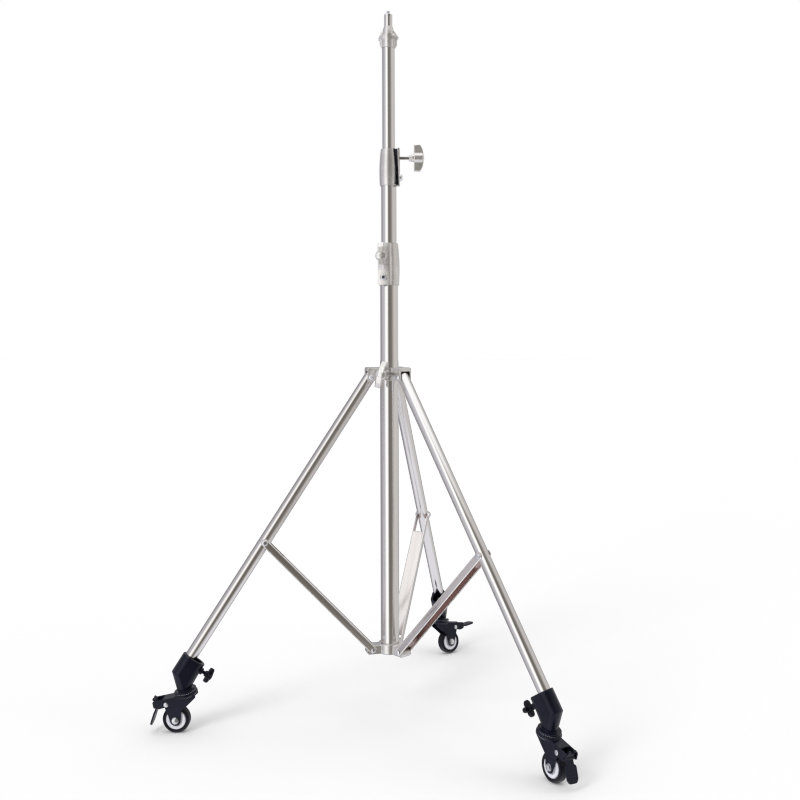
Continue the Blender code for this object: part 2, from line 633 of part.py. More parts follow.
def crown(parent):
    """The sliding crown: a ring with an inverted channel for each leg's top."""
    ring_r = base_r + GAP + CROWN_RING_WALL
    bottom = crown_top_z - CROWN_HEIGHT
    ring = solid("crown", rod(ring_r, bottom, crown_top_z, TUBE_SIDES), "cast", parent)
    for side, azimuth in LEGS.items():
        turn = frame_at("crown_" + side, parent, rotation=(0, 0, radians(azimuth)))
        lug = box((base_r + CROWN_RING_WALL / 2, -lug_outside / 2, bottom),
                  (LUG_REACH, lug_outside / 2, crown_top_z))
        edges = [e for e in lug.edges if all(v.co.x > LUG_REACH - 1e-6 for v in e.verts)
                 and abs(e.verts[0].co.z - e.verts[1].co.z) < 1e-6]
        edges += [e for e in lug.edges if abs(e.verts[0].co.y - e.verts[1].co.y) < 1e-6
                  and all(v.co.z > crown_top_z - 1e-6 for v in e.verts)]
        edges = [e for e in lug.edges if e in edges]
        bmesh.ops.bevel(lug, geom=edges, offset=CROWN_FILLET, segments=2, profile=0.5, affect="EDGES")
        add(ring, lug, turn)
        cut(ring, box((ring_r + CROWN_FILLET, -lug_inside / 2, bottom - CROWN_HEIGHT),
                      (LUG_REACH + CROWN_HEIGHT, lug_inside / 2, crown_top_z - CROWN_TOP_PLATE)), turn)
        bore = along_y(rod(LEG_PIN_D / 2 + GAP, -lug_outside, lug_outside))
        cut(ring, shifted(bore, CROWN_PIVOT_R, 0, crown_pivot_z), turn)
        half = lug_outside / 2 + GAP
        shank = along_y(rod(LEG_PIN_D / 2, -half, half))
        pin = solid(side + "_leg_pin", shifted(shank, CROWN_PIVOT_R, 0, crown_pivot_z), "zinc", turn)
        for low in (-half - LEG_PIN_HEAD_T, half):
            cap = along_y(rod(LEG_PIN_HEAD_D / 2, low, low + LEG_PIN_HEAD_T, ROUND_SIDES))
            add(pin, shifted(cap, CROWN_PIVOT_R, 0, crown_pivot_z))
    cut(ring, rod(base_r + GAP, bottom - CROWN_HEIGHT, crown_top_z + CROWN_HEIGHT, TUBE_SIDES))
    screw_z = crown_top_z - CROWN_SCREW_BELOW_TOP
    axis = frame_at("crown_knob_axis", parent, (0, 0, screw_z), (0, 0, radians(CROWN_KNOB_AZIMUTH)))
    boss_end = ring_r + CROWN_BOSS_OUT
    add(ring, along_x(rod(CROWN_BOSS_D / 2, base_r + CROWN_RING_WALL / 2, boss_end, ROUND_SIDES)), axis)
    cut(ring, along_x(rod(KNOB_SCREW_D / 2 + GAP, base_r / 2, boss_end * 2)), axis)
    clamp_knob("crown_knob", axis, CROWN_KNOB_TURN, base_r + GAP, boss_end + CROWN_KNOB_SCREW_SHOWS)


def hub(parent):
    """The fixed hub at the column's foot, with an arm for each brace."""
    ring_r = base_r + GAP + HUB_RING_WALL
    hub_top_z = hub_bottom_z + HUB_HEIGHT
    ring = solid("brace_hub", rod(ring_r, hub_bottom_z, hub_top_z, TUBE_SIDES), "cast", parent)
    arm_end = HUB_PIVOT_R + HUB_ARM_REACH
    top = hub_pivot_z + HUB_ARM_ABOVE_PIVOT
    for side, azimuth in LEGS.items():
        turn = frame_at("hub_" + side, parent, rotation=(0, 0, radians(azimuth)))
        outline = [(base_r + HUB_RING_WALL / 2, hub_bottom_z),
                   (arm_end - HUB_ARM_ABOVE_PIVOT / 2, hub_bottom_z),
                   (arm_end, hub_bottom_z + HUB_ARM_ABOVE_PIVOT / 2)]
        outline += arc((HUB_PIVOT_R, hub_pivot_z), HUB_ARM_ABOVE_PIVOT, 30, 90, 4)
        outline += [(base_r + HUB_RING_WALL / 2, top)]
        add(ring, plate(outline, -leg_r, leg_r), turn)
        bore = along_y(rod(PIN_D / 2 + GAP, -brace_outside, brace_outside))
        cut(ring, shifted(bore, HUB_PIVOT_R, 0, hub_pivot_z), turn)
        half = brace_outside / 2 + GAP
        pin = solid(side + "_hub_pin",
                    shifted(along_y(rod(PIN_D / 2, -half, half)), HUB_PIVOT_R, 0, hub_pivot_z), "zinc", turn)
        for low in (-half - PIN_HEAD_T, half):
            cap = along_y(rod(PIN_HEAD_D / 2, low, low + PIN_HEAD_T, ROUND_SIDES))
            add(pin, shifted(cap, HUB_PIVOT_R, 0, hub_pivot_z))
    cut(ring, rod(base_r + GAP, hub_bottom_z - HUB_HEIGHT, hub_bottom_z + 2 * HUB_HEIGHT, TUBE_SIDES))


def brace(side, axis):
    """A channel of folded sheet. Its web looks at the column, and its open side takes the leg."""
    near, far = brace_inside / 2, brace_outside / 2
    web_x = -BRACE_FLANGE / 2
    low, high = -BRACE_END_BEYOND_HOLE, BRACE_LENGTH + BRACE_END_BEYOND_HOLE
    corner = min(BRACE_FLANGE / 2, BRACE_END_BEYOND_HOLE) * 0.55
    outline = [(web_x, low + corner), (web_x + corner, low), (-web_x - corner, low), (-web_x, low + corner),
               (-web_x, high - corner), (-web_x - corner, high), (web_x + corner, high),
               (web_x, high - corner)]
    channel = solid(side + "_brace", plate(outline, -far, far), "stainless", axis)
    cut(channel, box((web_x + BRACE_SHEET, -near, low * 3), (BRACE_FLANGE, near, high - low * 3)))
    cut(channel, box((web_x * 3, -near, low * 3), (BRACE_FLANGE, near, BRACE_WEB_FROM_HUB)))
    web_top = BRACE_LENGTH - BRACE_WEB_CUT_BACK
    cut(channel, box((web_x * 3, -near, web_top), (BRACE_FLANGE, near, high - low * 3)))
    for up in (0.0, BRACE_LENGTH):
        cut(channel, shifted(along_y(rod(PIN_D / 2 + GAP, -far * 2, far * 2)), z=up))
    bolt = solid(side + "_brace_bolt", along_y(rod(PIN_D / 2, near, far + 2 * GAP)), "zinc", axis)
    add(bolt, along_y(rod(BRACE_BOLT_HEAD_D / 2, far + GAP, far + GAP + BRACE_BOLT_HEAD_T, ROUND_SIDES)))
    nut = solid(side + "_brace_nut", along_y(rod(PIN_D / 2, -far - BRACE_NUT_T, -near)), "zinc", axis)
    add(nut, along_y(hexagon(BRACE_NUT_FLATS, -far - GAP - BRACE_NUT_T, -far - GAP)))
    for piece in (bolt, nut):
        piece.location.z = BRACE_LENGTH
        for step in piece.modifiers:
            step.object.location.z = BRACE_LENGTH


def leg(side, axis):
    """A leg tube: its domed top turns on the crown's pin, and its foot stands in the caster's socket."""
    end = -LEG_LENGTH - LEG_INSERT
    inner = leg_r - TUBE_WALL
    dome = [(leg_r * cos(radians(a)), leg_r * sin(radians(a))) for a in (0, 32, 62)]
    profile = [(0, leg_r - 2 * TUBE_WALL), (inner * 0.7, leg_r - 2 * TUBE_WALL), (inner, leg_r * 0.4),
               (inner, end), (leg_r, end)] + dome + [(0, leg_r)]
    tube = solid(side + "_leg_tube", turned(profile, LEG_SIDES), "stainless", axis)
    cut(tube, along_y(rod(LEG_PIN_D / 2 + GAP, -leg_r * 2, leg_r * 2)))
    return tube


def socket_body(side, head_frame):
    """The caster's socket, in a frame on the race whose Z is the swivel axis and whose +X points outward."""
    lean = radians(SOCKET_ANGLE)
    down = Vector((sin(lean), 0, -cos(lean)))
    out = Vector((cos(lean), 0, sin(lean)))
    rise = MOUTH_HEIGHT - swivel_z
    mouth = Vector((-SWIVEL_BEYOND_MOUTH * cos(swivel_tilt) - rise * sin(swivel_tilt), 0,
                    -SWIVEL_BEYOND_MOUTH * sin(swivel_tilt) + rise * cos(swivel_tilt)))
    middle = out * ((SOCKET_OUTSIDE - SOCKET_INSIDE) / 2)
    half_length = (SOCKET_OUTSIDE + SOCKET_INSIDE) / 2
    flange_top = GAP + UPPER_RACE_HEIGHT
    neck_r = SOCKET_NECK_D / 2
    neck_z = flange_top + SOCKET_NECK_RISE
    heel = mouth + down * SOCKET_OUTER_RUN + out * SOCKET_OUTSIDE
    inner_low = mouth + down * SOCKET_INNER_RUN - out * SOCKET_INSIDE
    toe = inner_low.lerp(Vector((-neck_r, 0, neck_z)), 0.45)
    across = heel - toe
    flat = Vector((1, 0, 0))
    rings = [oblong(mouth + middle, out, half_length, SOCKET_HALF_WIDTH),
             oblong(mouth + middle + down * SOCKET_INNER_RUN, out, half_length, SOCKET_HALF_WIDTH),
             oblong((heel + toe) / 2, across.normalized(), across.length / 2, SOCKET_HALF_WIDTH),
             oblong((0, 0, neck_z), flat, neck_r, neck_r),
             oblong((0, 0, flange_top), flat, neck_r * 0.95, neck_r * 0.95),
             oblong((0, 0, flange_top), flat, UPPER_RACE_D / 2, UPPER_RACE_D / 2),
             oblong((0, 0, GAP), flat, UPPER_RACE_D / 2, UPPER_RACE_D / 2)]
    body = solid(side + "_caster_socket", loft(rings), "black_steel", head_frame)
    tilt = frame_at(side + "_socket_frame", head_frame, mouth, (0, -lean, 0))
    boss = rod(SOCKET_BOSS_D / 2, SOCKET_BORE_INSIDE + GAP, SOCKET_INSIDE + SOCKET_BOSS_OUT)
    turn_in = Matrix.Rotation(-pi / 2, 4, "Y")
    screw_z = -SOCKET_SCREW_DOWN
    add(body, shifted(moved(boss, turn_in), z=screw_z), tilt)
    bore_out = leg_r + GAP
    bore_half = (bore_out + SOCKET_BORE_INSIDE) / 2
    bore_mid = (bore_out - SOCKET_BORE_INSIDE) / 2
    bore = [oblong((bore_mid, 0, z), flat, bore_half, bore_out)
            for z in (SOCKET_BORE_DEPTH, -SOCKET_BORE_DEPTH)]
    cut(body, loft(bore), tilt)
    hole = rod(THUMB_SCREW_D / 2 + GAP, 0, SOCKET_INSIDE * 2)
    cut(body, shifted(moved(hole, turn_in), z=screw_z), tilt)
    cut(body, rod(KING_PIN_D / 2 + GAP, -GAP, KING_PIN_IN_SOCKET + GAP), head_frame)
    thumb_axis = frame_at(side + "_socket_knob_axis", tilt, (0, 0, screw_z), (0, pi, 0))
    screw_end = SOCKET_INSIDE + SOCKET_BOSS_OUT + THUMB_SCREW_SHOWS
    start = screw_end + THUMB_BOSS_LENGTH
    shape = star_knob(THUMB_D, THUMB_WAIST_D, THUMB_THICK * 0.8, THUMB_THICK * 0.2, THUMB_LOBES, 5)
    thumb = solid(side + "_socket_knob", along_x(shifted(shape, z=start)), "black_plastic", thumb_axis)
    add(thumb, along_x(rod(THUMB_BOSS_D / 2, screw_end, start + THUMB_THICK / 2)))
    add(thumb, along_x(rod(THUMB_SCREW_D / 2, leg_r + GAP, start + THUMB_THICK / 3)))


def fork(side, swivel):
    """The caster's fork and brake arm. The wheel trails along +X of the frame."""
    near, far = FORK_INSIDE / 2, fork_outside / 2
    top = -RACE_HEIGHT * 0.35
    rear = -RACE_D / 2 * 0.86
    arm_low = top - BRAKE_ARM_DEPTH
    outline = [(rear, top), (rear, -RACE_HEIGHT * 1.4), (TRAIL - FORK_AXLE_END_R * 1.6, -AXLE_DROP * 0.66)]
    outline += arc((TRAIL, -AXLE_DROP), FORK_AXLE_END_R, 195, 345, 7)
    outline += [(TRAIL + FORK_AXLE_END_R * 1.15, -AXLE_DROP + FORK_AXLE_END_R * 1.5),
                (BRAKE_PIVOT_REACH * 0.74, arm_low + BRAKE_ARM_DEPTH * 0.06),
                (BRAKE_PIVOT_REACH * 0.94, arm_low), (BRAKE_ARM_REACH, arm_low + BRAKE_ARM_DEPTH * 0.25),
                (BRAKE_ARM_REACH, top - BRAKE_ARM_DEPTH * 0.15),
                (BRAKE_ARM_REACH - BRAKE_ARM_DEPTH * 0.15, top)]
    body = solid(side + "_caster_fork", plate(outline, -far, far), "black_steel", swivel)
    inside = [(rear * 2, -AXLE_DROP * 2), (BRAKE_ARM_REACH * 2, -AXLE_DROP * 2),
              (BRAKE_ARM_REACH * 2, AXLE_DROP), (BRAKE_ROOF_END, AXLE_DROP),
              (BRAKE_ROOF_END, top - FORK_PLATE_T), (rear * 2, top - FORK_PLATE_T)]
    cut(body, plate(inside, -near, near))
    cut(body, shifted(along_y(rod(AXLE_D / 2 + GAP, -2 * far, 2 * far)), TRAIL, 0, -AXLE_DROP))
    cup = [(0, -RACE_HEIGHT), (RACE_D / 2 * 0.9, -RACE_HEIGHT), (RACE_D / 2, -RACE_HEIGHT * 0.6),
           (RACE_D / 2, 0), (KING_PIN_D / 2, 0), (KING_PIN_D / 2, KING_PIN_IN_SOCKET),
           (0, KING_PIN_IN_SOCKET)]
    add(body, turned(cup, SOCKET_SIDES))
    pin_r = BRAKE_BARREL_R / 2
    add(body, shifted(along_y(rod(pin_r, -far + GAP, far - GAP)), BRAKE_PIVOT_REACH, 0, -BRAKE_PIVOT_DROP))
    axle = solid(side + "_axle_bolt",
                 shifted(along_y(rod(AXLE_D / 2, -far - 2 * GAP, far + 2 * GAP)), TRAIL, 0, -AXLE_DROP),
                 "zinc", swivel)
    for low in (-far - GAP - AXLE_HEAD_T, far + GAP):
        nut = along_y(hexagon(AXLE_HEX_FLATS, low, low + AXLE_HEAD_T))
        add(axle, shifted(nut, TRAIL, 0, -AXLE_DROP))
    return pin_r


def wheel(side, axle):
    """Rim and tyre, in a frame on the axle whose Y is the axle."""
    half = TYRE_WIDTH / 2
    bead = WHEEL_RIM_D / 2 + GAP
    tread = half - TYRE_SHOULDER
    tyre = [(bead, -half + TYRE_SHOULDER / 2), (wheel_r - TYRE_SHOULDER, -half),
            (wheel_r - TYRE_SHOULDER * 0.3, -half + TYRE_SHOULDER * 0.3), (wheel_r, -tread), (wheel_r, tread),
            (wheel_r - TYRE_SHOULDER * 0.3, half - TYRE_SHOULDER * 0.3), (wheel_r - TYRE_SHOULDER, half),
            (bead, half - TYRE_SHOULDER / 2)]
    solid(side + "_caster_tyre", along_y(turned(tyre, WHEEL_SIDES, ring=True)), "tyre", axle)
    bore = AXLE_D / 2 + GAP
    hub_half = FORK_INSIDE / 2 - GAP
    rim_half = WHEEL_RIM_WIDTH / 2
    disc_half = WHEEL_DISC_WIDTH / 2
    ring_r = WHEEL_RING_INNER_D / 2
    hub_r = ring_r * 0.6
    rim = [(bore, -hub_half), (hub_r, -hub_half), (ring_r, -disc_half), (ring_r, -rim_half),
           (WHEEL_RIM_D / 2 - GAP, -rim_half), (WHEEL_RIM_D / 2 - GAP, rim_half), (ring_r, rim_half),
           (ring_r, disc_half), (hub_r, hub_half), (bore, hub_half)]
    solid(side + "_caster_wheel", along_y(turned(rim, WHEEL_SIDES, ring=True)), "wheel", axle)


def pedal(side, pivot_frame, pin_r):
    """The brake pedal and its release tab, on a barrel that turns between the arm's cheeks."""
    half = FORK_INSIDE / 2 - GAP
    barrel = along_y(rod(BRAKE_BARREL_R, -half, half))
    body = solid(side + "_brake_pedal", barrel, "black_plastic", pivot_frame)
    lean = radians(PEDAL_LEAN)
    down = Vector((sin(lean), 0, -cos(lean)))
    out = Vector((cos(lean), 0, sin(lean)))
    neck = PEDAL_NECK_WIDTH / 2
    rings = []
    steps = ((0.0, neck, 0.8), (PEDAL_NECK, neck, 1.0), (PEDAL_NECK + PEDAL_T, PEDAL_WIDTH / 2, 1.1),
             (PEDAL_LENGTH * 0.85, PEDAL_WIDTH / 2, 1.1), (PEDAL_LENGTH, PEDAL_WIDTH / 3, 0.8))
    for t, width, thick in steps:
        centre = down * t
        side_step = out * (PEDAL_T * thick / 2)
        rings.append([centre + side_step + Vector((0, -width, 0)), centre + side_step + Vector((0, width, 0)),
                      centre - side_step + Vector((0, width, 0)),
                      centre - side_step + Vector((0, -width, 0))])
    add(body, loft(rings))
    tab = [(-TAB_T, 0), (TAB_T, 0), (TAB_LEAN * 0.5 + TAB_T / 2, TAB_LENGTH * 0.6),
           (TAB_LEAN + TAB_T / 2, TAB_LENGTH * 0.8), (TAB_LEAN + TAB_T / 2, TAB_LENGTH),
           (TAB_LEAN - TAB_T / 2, TAB_LENGTH), (TAB_LEAN - TAB_T, TAB_LENGTH * 0.85),
           (TAB_LEAN * 0.5 - TAB_T, TAB_LENGTH * 0.7)]
    add(body, plate(tab, -half * 0.8, half * 0.8))
    cut(body, along_y(rod(pin_r + GAP, -2 * half, 2 * half)))


def caster(side, column, azimuth):
    """Everything on the end of one leg, set over its swivel axis, which leans outward at its top."""
    spot = (swivel_r * cos(radians(azimuth)), swivel_r * sin(radians(azimuth)), swivel_z)
    head_frame = frame_at(side + "_caster_frame", column, spot, (0, swivel_tilt, radians(azimuth)))
    socket_body(side, head_frame)
    swivel = frame_at(side + "_swivel_axis", head_frame, rotation=(0, 0, radians(SWIVEL_TURN[side])))
    pin_r = fork(side, swivel)
    axle = frame_at(side + "_axle_axis", swivel, (TRAIL, 0, -AXLE_DROP))
    wheel(side, axle)
    lift = radians(PEDAL_TRAVEL) if side in RAISED_PEDALS else 0.0
    hinge = frame_at(side + "_pedal_axis", swivel, (BRAKE_PIVOT_REACH, 0, -BRAKE_PIVOT_DROP), (0, -lift, 0))
    pedal(side, hinge, pin_r)


def build():
    clear_scene()
    column = frame_at("column", location=(COLUMN_X, COLUMN_Y, 0))
    mid_slide = frame_at("mid_slide_axis", column)
    mid = frame_at("mid_turn_axis", mid_slide)
    top_slide = frame_at("top_slide_axis", mid)
    top = frame_at("top_turn_axis", top_slide)
    column_tubes(column, mid, mid_slide, top, top_slide)
    collar("lower_collar", column, LOWER_KNOB_AZIMUTH, base_r, mid_r, lower_collar_z, LOWER_COLLAR_HEIGHT,
           "lower_clamp_knob", LOWER_KNOB_TURN)
    collar("upper_collar", mid, UPPER_KNOB_AZIMUTH, mid_r, top_r, upper_collar_z, UPPER_COLLAR_HEIGHT,
           "upper_clamp_knob", UPPER_KNOB_TURN)
    head(top)
    crown_slide = frame_at("crown_slide_axis", column)
    crown(crown_slide)
    hub(column)
    for side, azimuth in LEGS.items():
        turn = frame_at(side + "_radial", column, rotation=(0, 0, radians(azimuth)))
        leg_axis = frame_at(side + "_leg_axis", turn, (CROWN_PIVOT_R, 0, crown_pivot_z), (0, -leg_angle, 0))
        leg(side, leg_axis)
        brace_axis = frame_at(side + "_brace_axis", turn, (HUB_PIVOT_R, 0, hub_pivot_z), (0, brace_angle, 0))
        brace(side, brace_axis)
        caster(side, column, azimuth)
    print("leg leans", round(degrees(leg_angle), 3), "brace leans", round(degrees(brace_angle), 3))
    print("height", round(top_top_z + HEAD_HEIGHT + HEAD_CONE + SPIGOT_LENGTH + STUD_LENGTH, 4))


build()
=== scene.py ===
"""The looks of a wheeled light stand: polished tubes, die-cast clamps and black braked casters.

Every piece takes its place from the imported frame. Lengths are in metres and +Z is up.
"""
import json
from math import asin, atan2, cos, degrees, pi, radians, sin, tan

import bmesh
import bpy
from mathutils import Euler, Matrix, Vector

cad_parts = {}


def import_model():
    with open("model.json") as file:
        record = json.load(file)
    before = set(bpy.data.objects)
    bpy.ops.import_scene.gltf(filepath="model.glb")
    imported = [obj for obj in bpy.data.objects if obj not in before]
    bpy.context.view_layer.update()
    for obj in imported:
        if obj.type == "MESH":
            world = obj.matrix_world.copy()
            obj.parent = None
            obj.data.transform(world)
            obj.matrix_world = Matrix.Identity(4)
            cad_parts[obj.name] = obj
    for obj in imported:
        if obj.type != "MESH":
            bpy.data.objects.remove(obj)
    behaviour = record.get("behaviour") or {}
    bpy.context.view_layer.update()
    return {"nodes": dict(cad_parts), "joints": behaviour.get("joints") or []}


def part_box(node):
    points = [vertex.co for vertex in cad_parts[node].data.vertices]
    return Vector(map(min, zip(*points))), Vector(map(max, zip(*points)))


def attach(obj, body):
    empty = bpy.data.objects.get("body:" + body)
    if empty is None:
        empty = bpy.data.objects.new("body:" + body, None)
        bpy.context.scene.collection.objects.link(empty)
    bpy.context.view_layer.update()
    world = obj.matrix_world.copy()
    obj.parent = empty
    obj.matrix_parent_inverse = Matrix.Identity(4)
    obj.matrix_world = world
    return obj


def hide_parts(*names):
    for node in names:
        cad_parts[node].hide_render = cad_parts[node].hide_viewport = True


SIDES = ("right", "left", "back")
UP = Vector((0, 0, 1))

# Camera, on the photograph's line of sight
CAMERA_TURN = 17.3           # degrees that the camera stands round from the front
CAMERA_DISTANCE = 1.9467     # from the column's axis
CAMERA_HEIGHT = 0.730
CAMERA_YAW = 0.62            # degrees that the camera looks past the column
CAMERA_ROLL = 0.17
CAMERA_LENS = 44.97          # millimetres, on a 36 mm sensor
CAMERA_SHIFT = -0.0764

# Tubes
TUBE_WALL = 0.0012
TUBE_EDGE = 0.0004
TUBE_FACETS = 96
BUSH_WALL = TUBE_WALL * 0.8
PLUG_DISH = 0.0020            # how far the middle of the foot's plug is hollowed
CAP_DOWN = 0.0040             # how far a leg's domed top reaches into its tube
CAP_SEAM = 0.0005
CAP_BORE_HALF = 0.0200

# Clearances, overlaps and the reach of cutting tools
GAP = 0.0003                  # between neighbouring pieces
HAIR = 0.0001                 # a clearance too fine to see
OVERLAP = 0.0010              # how far one solid runs into the one that it is joined to
ROOT = 0.0020                 # how far a lug, boss or spigot starts inside what carries it
SCREW_ROOT = 0.0005           # how far a knob's screw starts inside its boss
BORE_RUN_OUT = 0.0100         # how far a ring's bore is cut past its ends
SLOT_RUN_OUT = 0.0200
PIN_BORE_HALF = 0.0300        # half the length of the tool that bores for a pin or an axle
KNOB_BORE_LENGTH = 0.0400
SCREW_HOLE_D = 0.0066         # a clear hole for a 6 mm screw

# Collars
COLLAR_EAR_REACH = 0.0190
COLLAR_EAR_BACK = 0.0040
COLLAR_EAR_DRAFT = 0.0011     # how far the ear's face falls away toward its free edge
COLLAR_EAR_FOOT = 0.0022
COLLAR_EAR_TOP = 0.0052
COLLAR_FOOT_WALL = 0.0022
COLLAR_TOP_WALL = 0.0029
COLLAR_EDGE = 0.0009
COLLAR_EAR_ROUND = 0.0022
COLLAR_EAR_BLEND = 10.0       # degrees from the ear's back to the barrel's own round
COLLAR_BELLY = 0.4            # share of the height at which the barrel is widest
COLLAR_STEP = 0.5             # share of the height at which the bore steps in to the riser
COLLAR_HOLE_IN = 0.0100       # reach of a screw hole's tool, from the ear's face
COLLAR_HOLE_OUT = 0.0050
SLOT_ANGLE_FOOT = 30.0
SLOT_ANGLE_TOP = 54.0
PAD_REACH = 0.0150
PAD_ROWS = 12
PAD_END = 0.015               # share of the height left free at each end of the pad
PAD_SIDE_GAP = 5.0            # degrees between the pad and the slot's far side
PAD_TURN_END = 13.0
PAD_CLEAR_OF_AXIS = 0.0020
COLLAR_SCREW_SIDE = 0.0080
COLLAR_BOLT_UP = 0.0145
COLLAR_KNOB_UP = 0.0527
LINER_WALL = 0.0009
LINER_FOOT = 0.52             # share of the height at which the riser's liner starts
LINER_LIP = 0.0006
COLLAR_ROWS = 44
COLLAR_ARC = 72

# Clamp knobs
KNOB_SPAN = 0.0510
KNOB_MIDDLE_D = 0.0210
KNOB_WING_WIDTH = 0.0110
KNOB_THICK = 0.0125
KNOB_DOME = 0.0070
KNOB_WING_EDGE = 0.0012
KNOB_BOSS_D = 0.0150
KNOB_BOSS_LENGTH = 0.0095
KNOB_SCREW_D = 0.0060
KNOB_SCREW_PITCH = 0.0010
KNOB_TURNS = {"lower": 92.0, "upper": 90.0, "crown": 73.0}

# Screws, pins and bolts
M6_PITCH = 0.0010
STUD_PITCH = 0.00127
THREAD_DEPTH = 0.55           # share of the pitch
NUT_THREAD_SHOWS = 0.0009
AXLE_D = 0.0060
HEX_KEY_FLATS = 0.0050
HEX_KEY_DEPTH = 0.0025

# Head
HEAD_BOLT_TURN = 10.0
HEAD_D = 0.0262
HEAD_HEIGHT = 0.0260
HEAD_CONE = 0.0160
HEAD_BOLT_UP = 0.0200
HEAD_BOSS_D = 0.0230
HEAD_BOSS_END_D = 0.0130
HEAD_BOSS_OUT = 0.0036
HEAD_EAR_THICK = 0.0130
HEAD_EAR_EDGE = 0.0014
HEAD_STEP = 0.0008            # the ledge where the cone meets the spigot
HEAD_PLUG_UP = 0.0020
HEAD_BOLT_D = 0.0050
HEAD_BOLT_HEAD_D = 0.0095
HEAD_BOLT_TIP = 0.0002
HEAD_NUT_FLATS = 0.0081
SPIGOT_D = 0.0158
SPIGOT_HOLE_D = 0.0034
SPIGOT_HOLE_DOWN = 0.0027
SPIGOT_HOLE_TURN = 12.0       # degrees that the hole stands round from the camera
SPIGOT_EDGE = 0.0011
STUD_D = 0.00635
STUD_SEAT = 0.0030
STUD_TIP = 0.0010
STUD_THREAD_SHORT = 0.0008    # how far below its tip the stud's thread ends

# Crown and hub
RING_WALL = 0.0047
LUG_WALL = 0.0030
LUG_REACH = 0.0460
LUG_SHUT = 0.0020
LUG_EDGE = 0.0016
# Thin black sheets that paint the shade inside each leg's channel of the crown
CROWN_SHADE_ROOF = 0.0003
CROWN_SHADE_CHEEK = 0.0004
CROWN_SHADE_SHORT = 0.0012    # how far the black sheets of painted shade end inside their lug
CROWN_SHADE_UP = 0.0008
CROWN_TOP_PLATE = 0.0070
CROWN_BOSS_D = 0.0160
CROWN_BOSS_OUT = 0.0040
HUB_ARM_REACH = 0.0125
HUB_ARM_ABOVE_PIVOT = 0.0080

# Braces
BRACE_SHEET = 0.0012
BRACE_FLANGE = 0.0130
BRACE_BEND = 0.0021
BRACE_END_BEYOND_HOLE = 0.0068
BRACE_WEB_FROM_HUB = 0.0110
BRACE_WEB_SLOPE = 0.0060
BRACE_WEB_CUT_REACH = 0.0012
BRACE_WEB_CUT_BACK = 0.0480
BRACE_CUT_ROUND = 0.0030
BRACE_BOLT_RIM = 0.0012
PIN_D = 0.0060
PIN_HEAD = 0.06               # share of a pin's length that each of its heads takes

# Casters
TYRE_WIDTH = 0.0180
TYRE_SHOULDER = 0.0040
TYRE_WITHIN = 0.00008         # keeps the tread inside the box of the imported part
WHEEL_D = 0.0500
WHEEL_RIM_D = 0.0366
WHEEL_RIM_WIDTH = 0.0164
WHEEL_RING_INNER_D = 0.0236
WHEEL_DISC_WIDTH = 0.0110
WHEEL_LIP = 0.0012
WHEEL_LIP_PROUD = 0.0002
FORK_INSIDE = 0.0204
FORK_SHEET = 0.0016
FORK_AXLE_END_R = 0.0100
FORK_PLATE_T = 0.0018
RACE_D = 0.0430
RACE_HEIGHT = 0.0080
UPPER_RACE_D = 0.0400
UPPER_RACE_HEIGHT = 0.0044
RACE_GROOVE = 0.0012
BALL_D = 0.0024
BALLS = 32
KINGPIN_R = 0.0040
KINGPIN_UP = 0.0090
WASHER_T = 0.0009
BOLT_TIP = 0.0006             # how far the axle bolt shows past its heads
BRAKE_ARM_REACH = 0.0620
BRAKE_ARM_DEPTH = 0.0160
BRAKE_ROOF_END = 0.0425
BRAKE_BARREL_R = 0.0040
HINGE_PIN_OUT = 0.0008
PEDAL_LENGTH = 0.0395
PEDAL_NECK = 0.0110
PEDAL_NECK_WIDTH = 0.0130
PEDAL_WIDTH = 0.0220
PEDAL_T = 0.0028
PEDAL_LEAN = 31.0
PEDAL_RIBS = 4
PEDAL_RIB_R = 0.0009
PEDAL_RIB_SET_IN = 0.0004
TAB_LENGTH = 0.0140
TAB_LEAN = 0.0045
TAB_T = 0.0022
CHEEK_RIVET = (0.0382, -0.0135)
CHEEK_RIVET_D = 0.0085
CHEEK_RIVET_ROOT = 0.0002
CHEEK_RIVET_RIM = 0.0006
CHEEK_RIVET_UP = 0.0014

# Caster sockets
SOCKET_OUTSIDE = 0.0150
SOCKET_INSIDE = 0.0294
SOCKET_HALF_WIDTH = 0.0155
SOCKET_OUTER_RUN = 0.0395
SOCKET_INNER_RUN = 0.0210
SOCKET_BORE_DEPTH = 0.0300
SOCKET_BORE_INSIDE = 0.0240
SOCKET_NECK_D = 0.0270
SOCKET_NECK_RISE = 0.0030
SOCKET_SCREW_DOWN = 0.0135
SOCKET_BOSS_D = 0.0120
SOCKET_BOSS_OUT = 0.0040
THUMB_D = 0.0280
THUMB_WAIST_D = 0.0110
THUMB_LOBES = 4
THUMB_THICK = 0.0100
THUMB_BOSS_D = 0.0110
THUMB_BOSS_LENGTH = 0.0045
THUMB_SCREW_D = 0.0060

# The room
FLOOR_HALF = 30.0
ROOM_STRENGTH = 1.4
CEILING_FADE = (0.64, 0.88)   # heights on a ball of directions where the wall runs into the ceiling
FLOOR_FADE = (-0.48, -0.80)
WALL_STOPS = ((-180, "#97969A"), (-113, "#8F8E94"), (-98, "#B0AFB6"), (-60, "#BBBABF"), (-51, "#F2F2F2"),
              (-38, "#FFFFFF"), (-22, "#F4F3F2"), (-11, "#807C76"), (0, "#625F58"), (30, "#726E69"),
              (46, "#95918D"), (68, "#BEBBB8"), (138, "#B8B6B5"), (180, "#97969A"))


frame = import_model()
joints = {joint["name"]: joint for joint in frame["joints"]}


def pivot(name):
    return Vector(joints[name]["pos_m"])


def direction(name):
    return Vector(joints[name]["axis"]).normalized()


def axes_at(origin, x=None, y=None, z=None):
    """A place from its origin and two of its axes."""
    x = y.cross(z).normalized() if x is None else x
    y = z.cross(x).normalized() if y is None else y
    z = x.cross(y).normalized() if z is None else z
    place = Matrix((x, y, z)).transposed().to_4x4()
    place.translation = origin
    return place


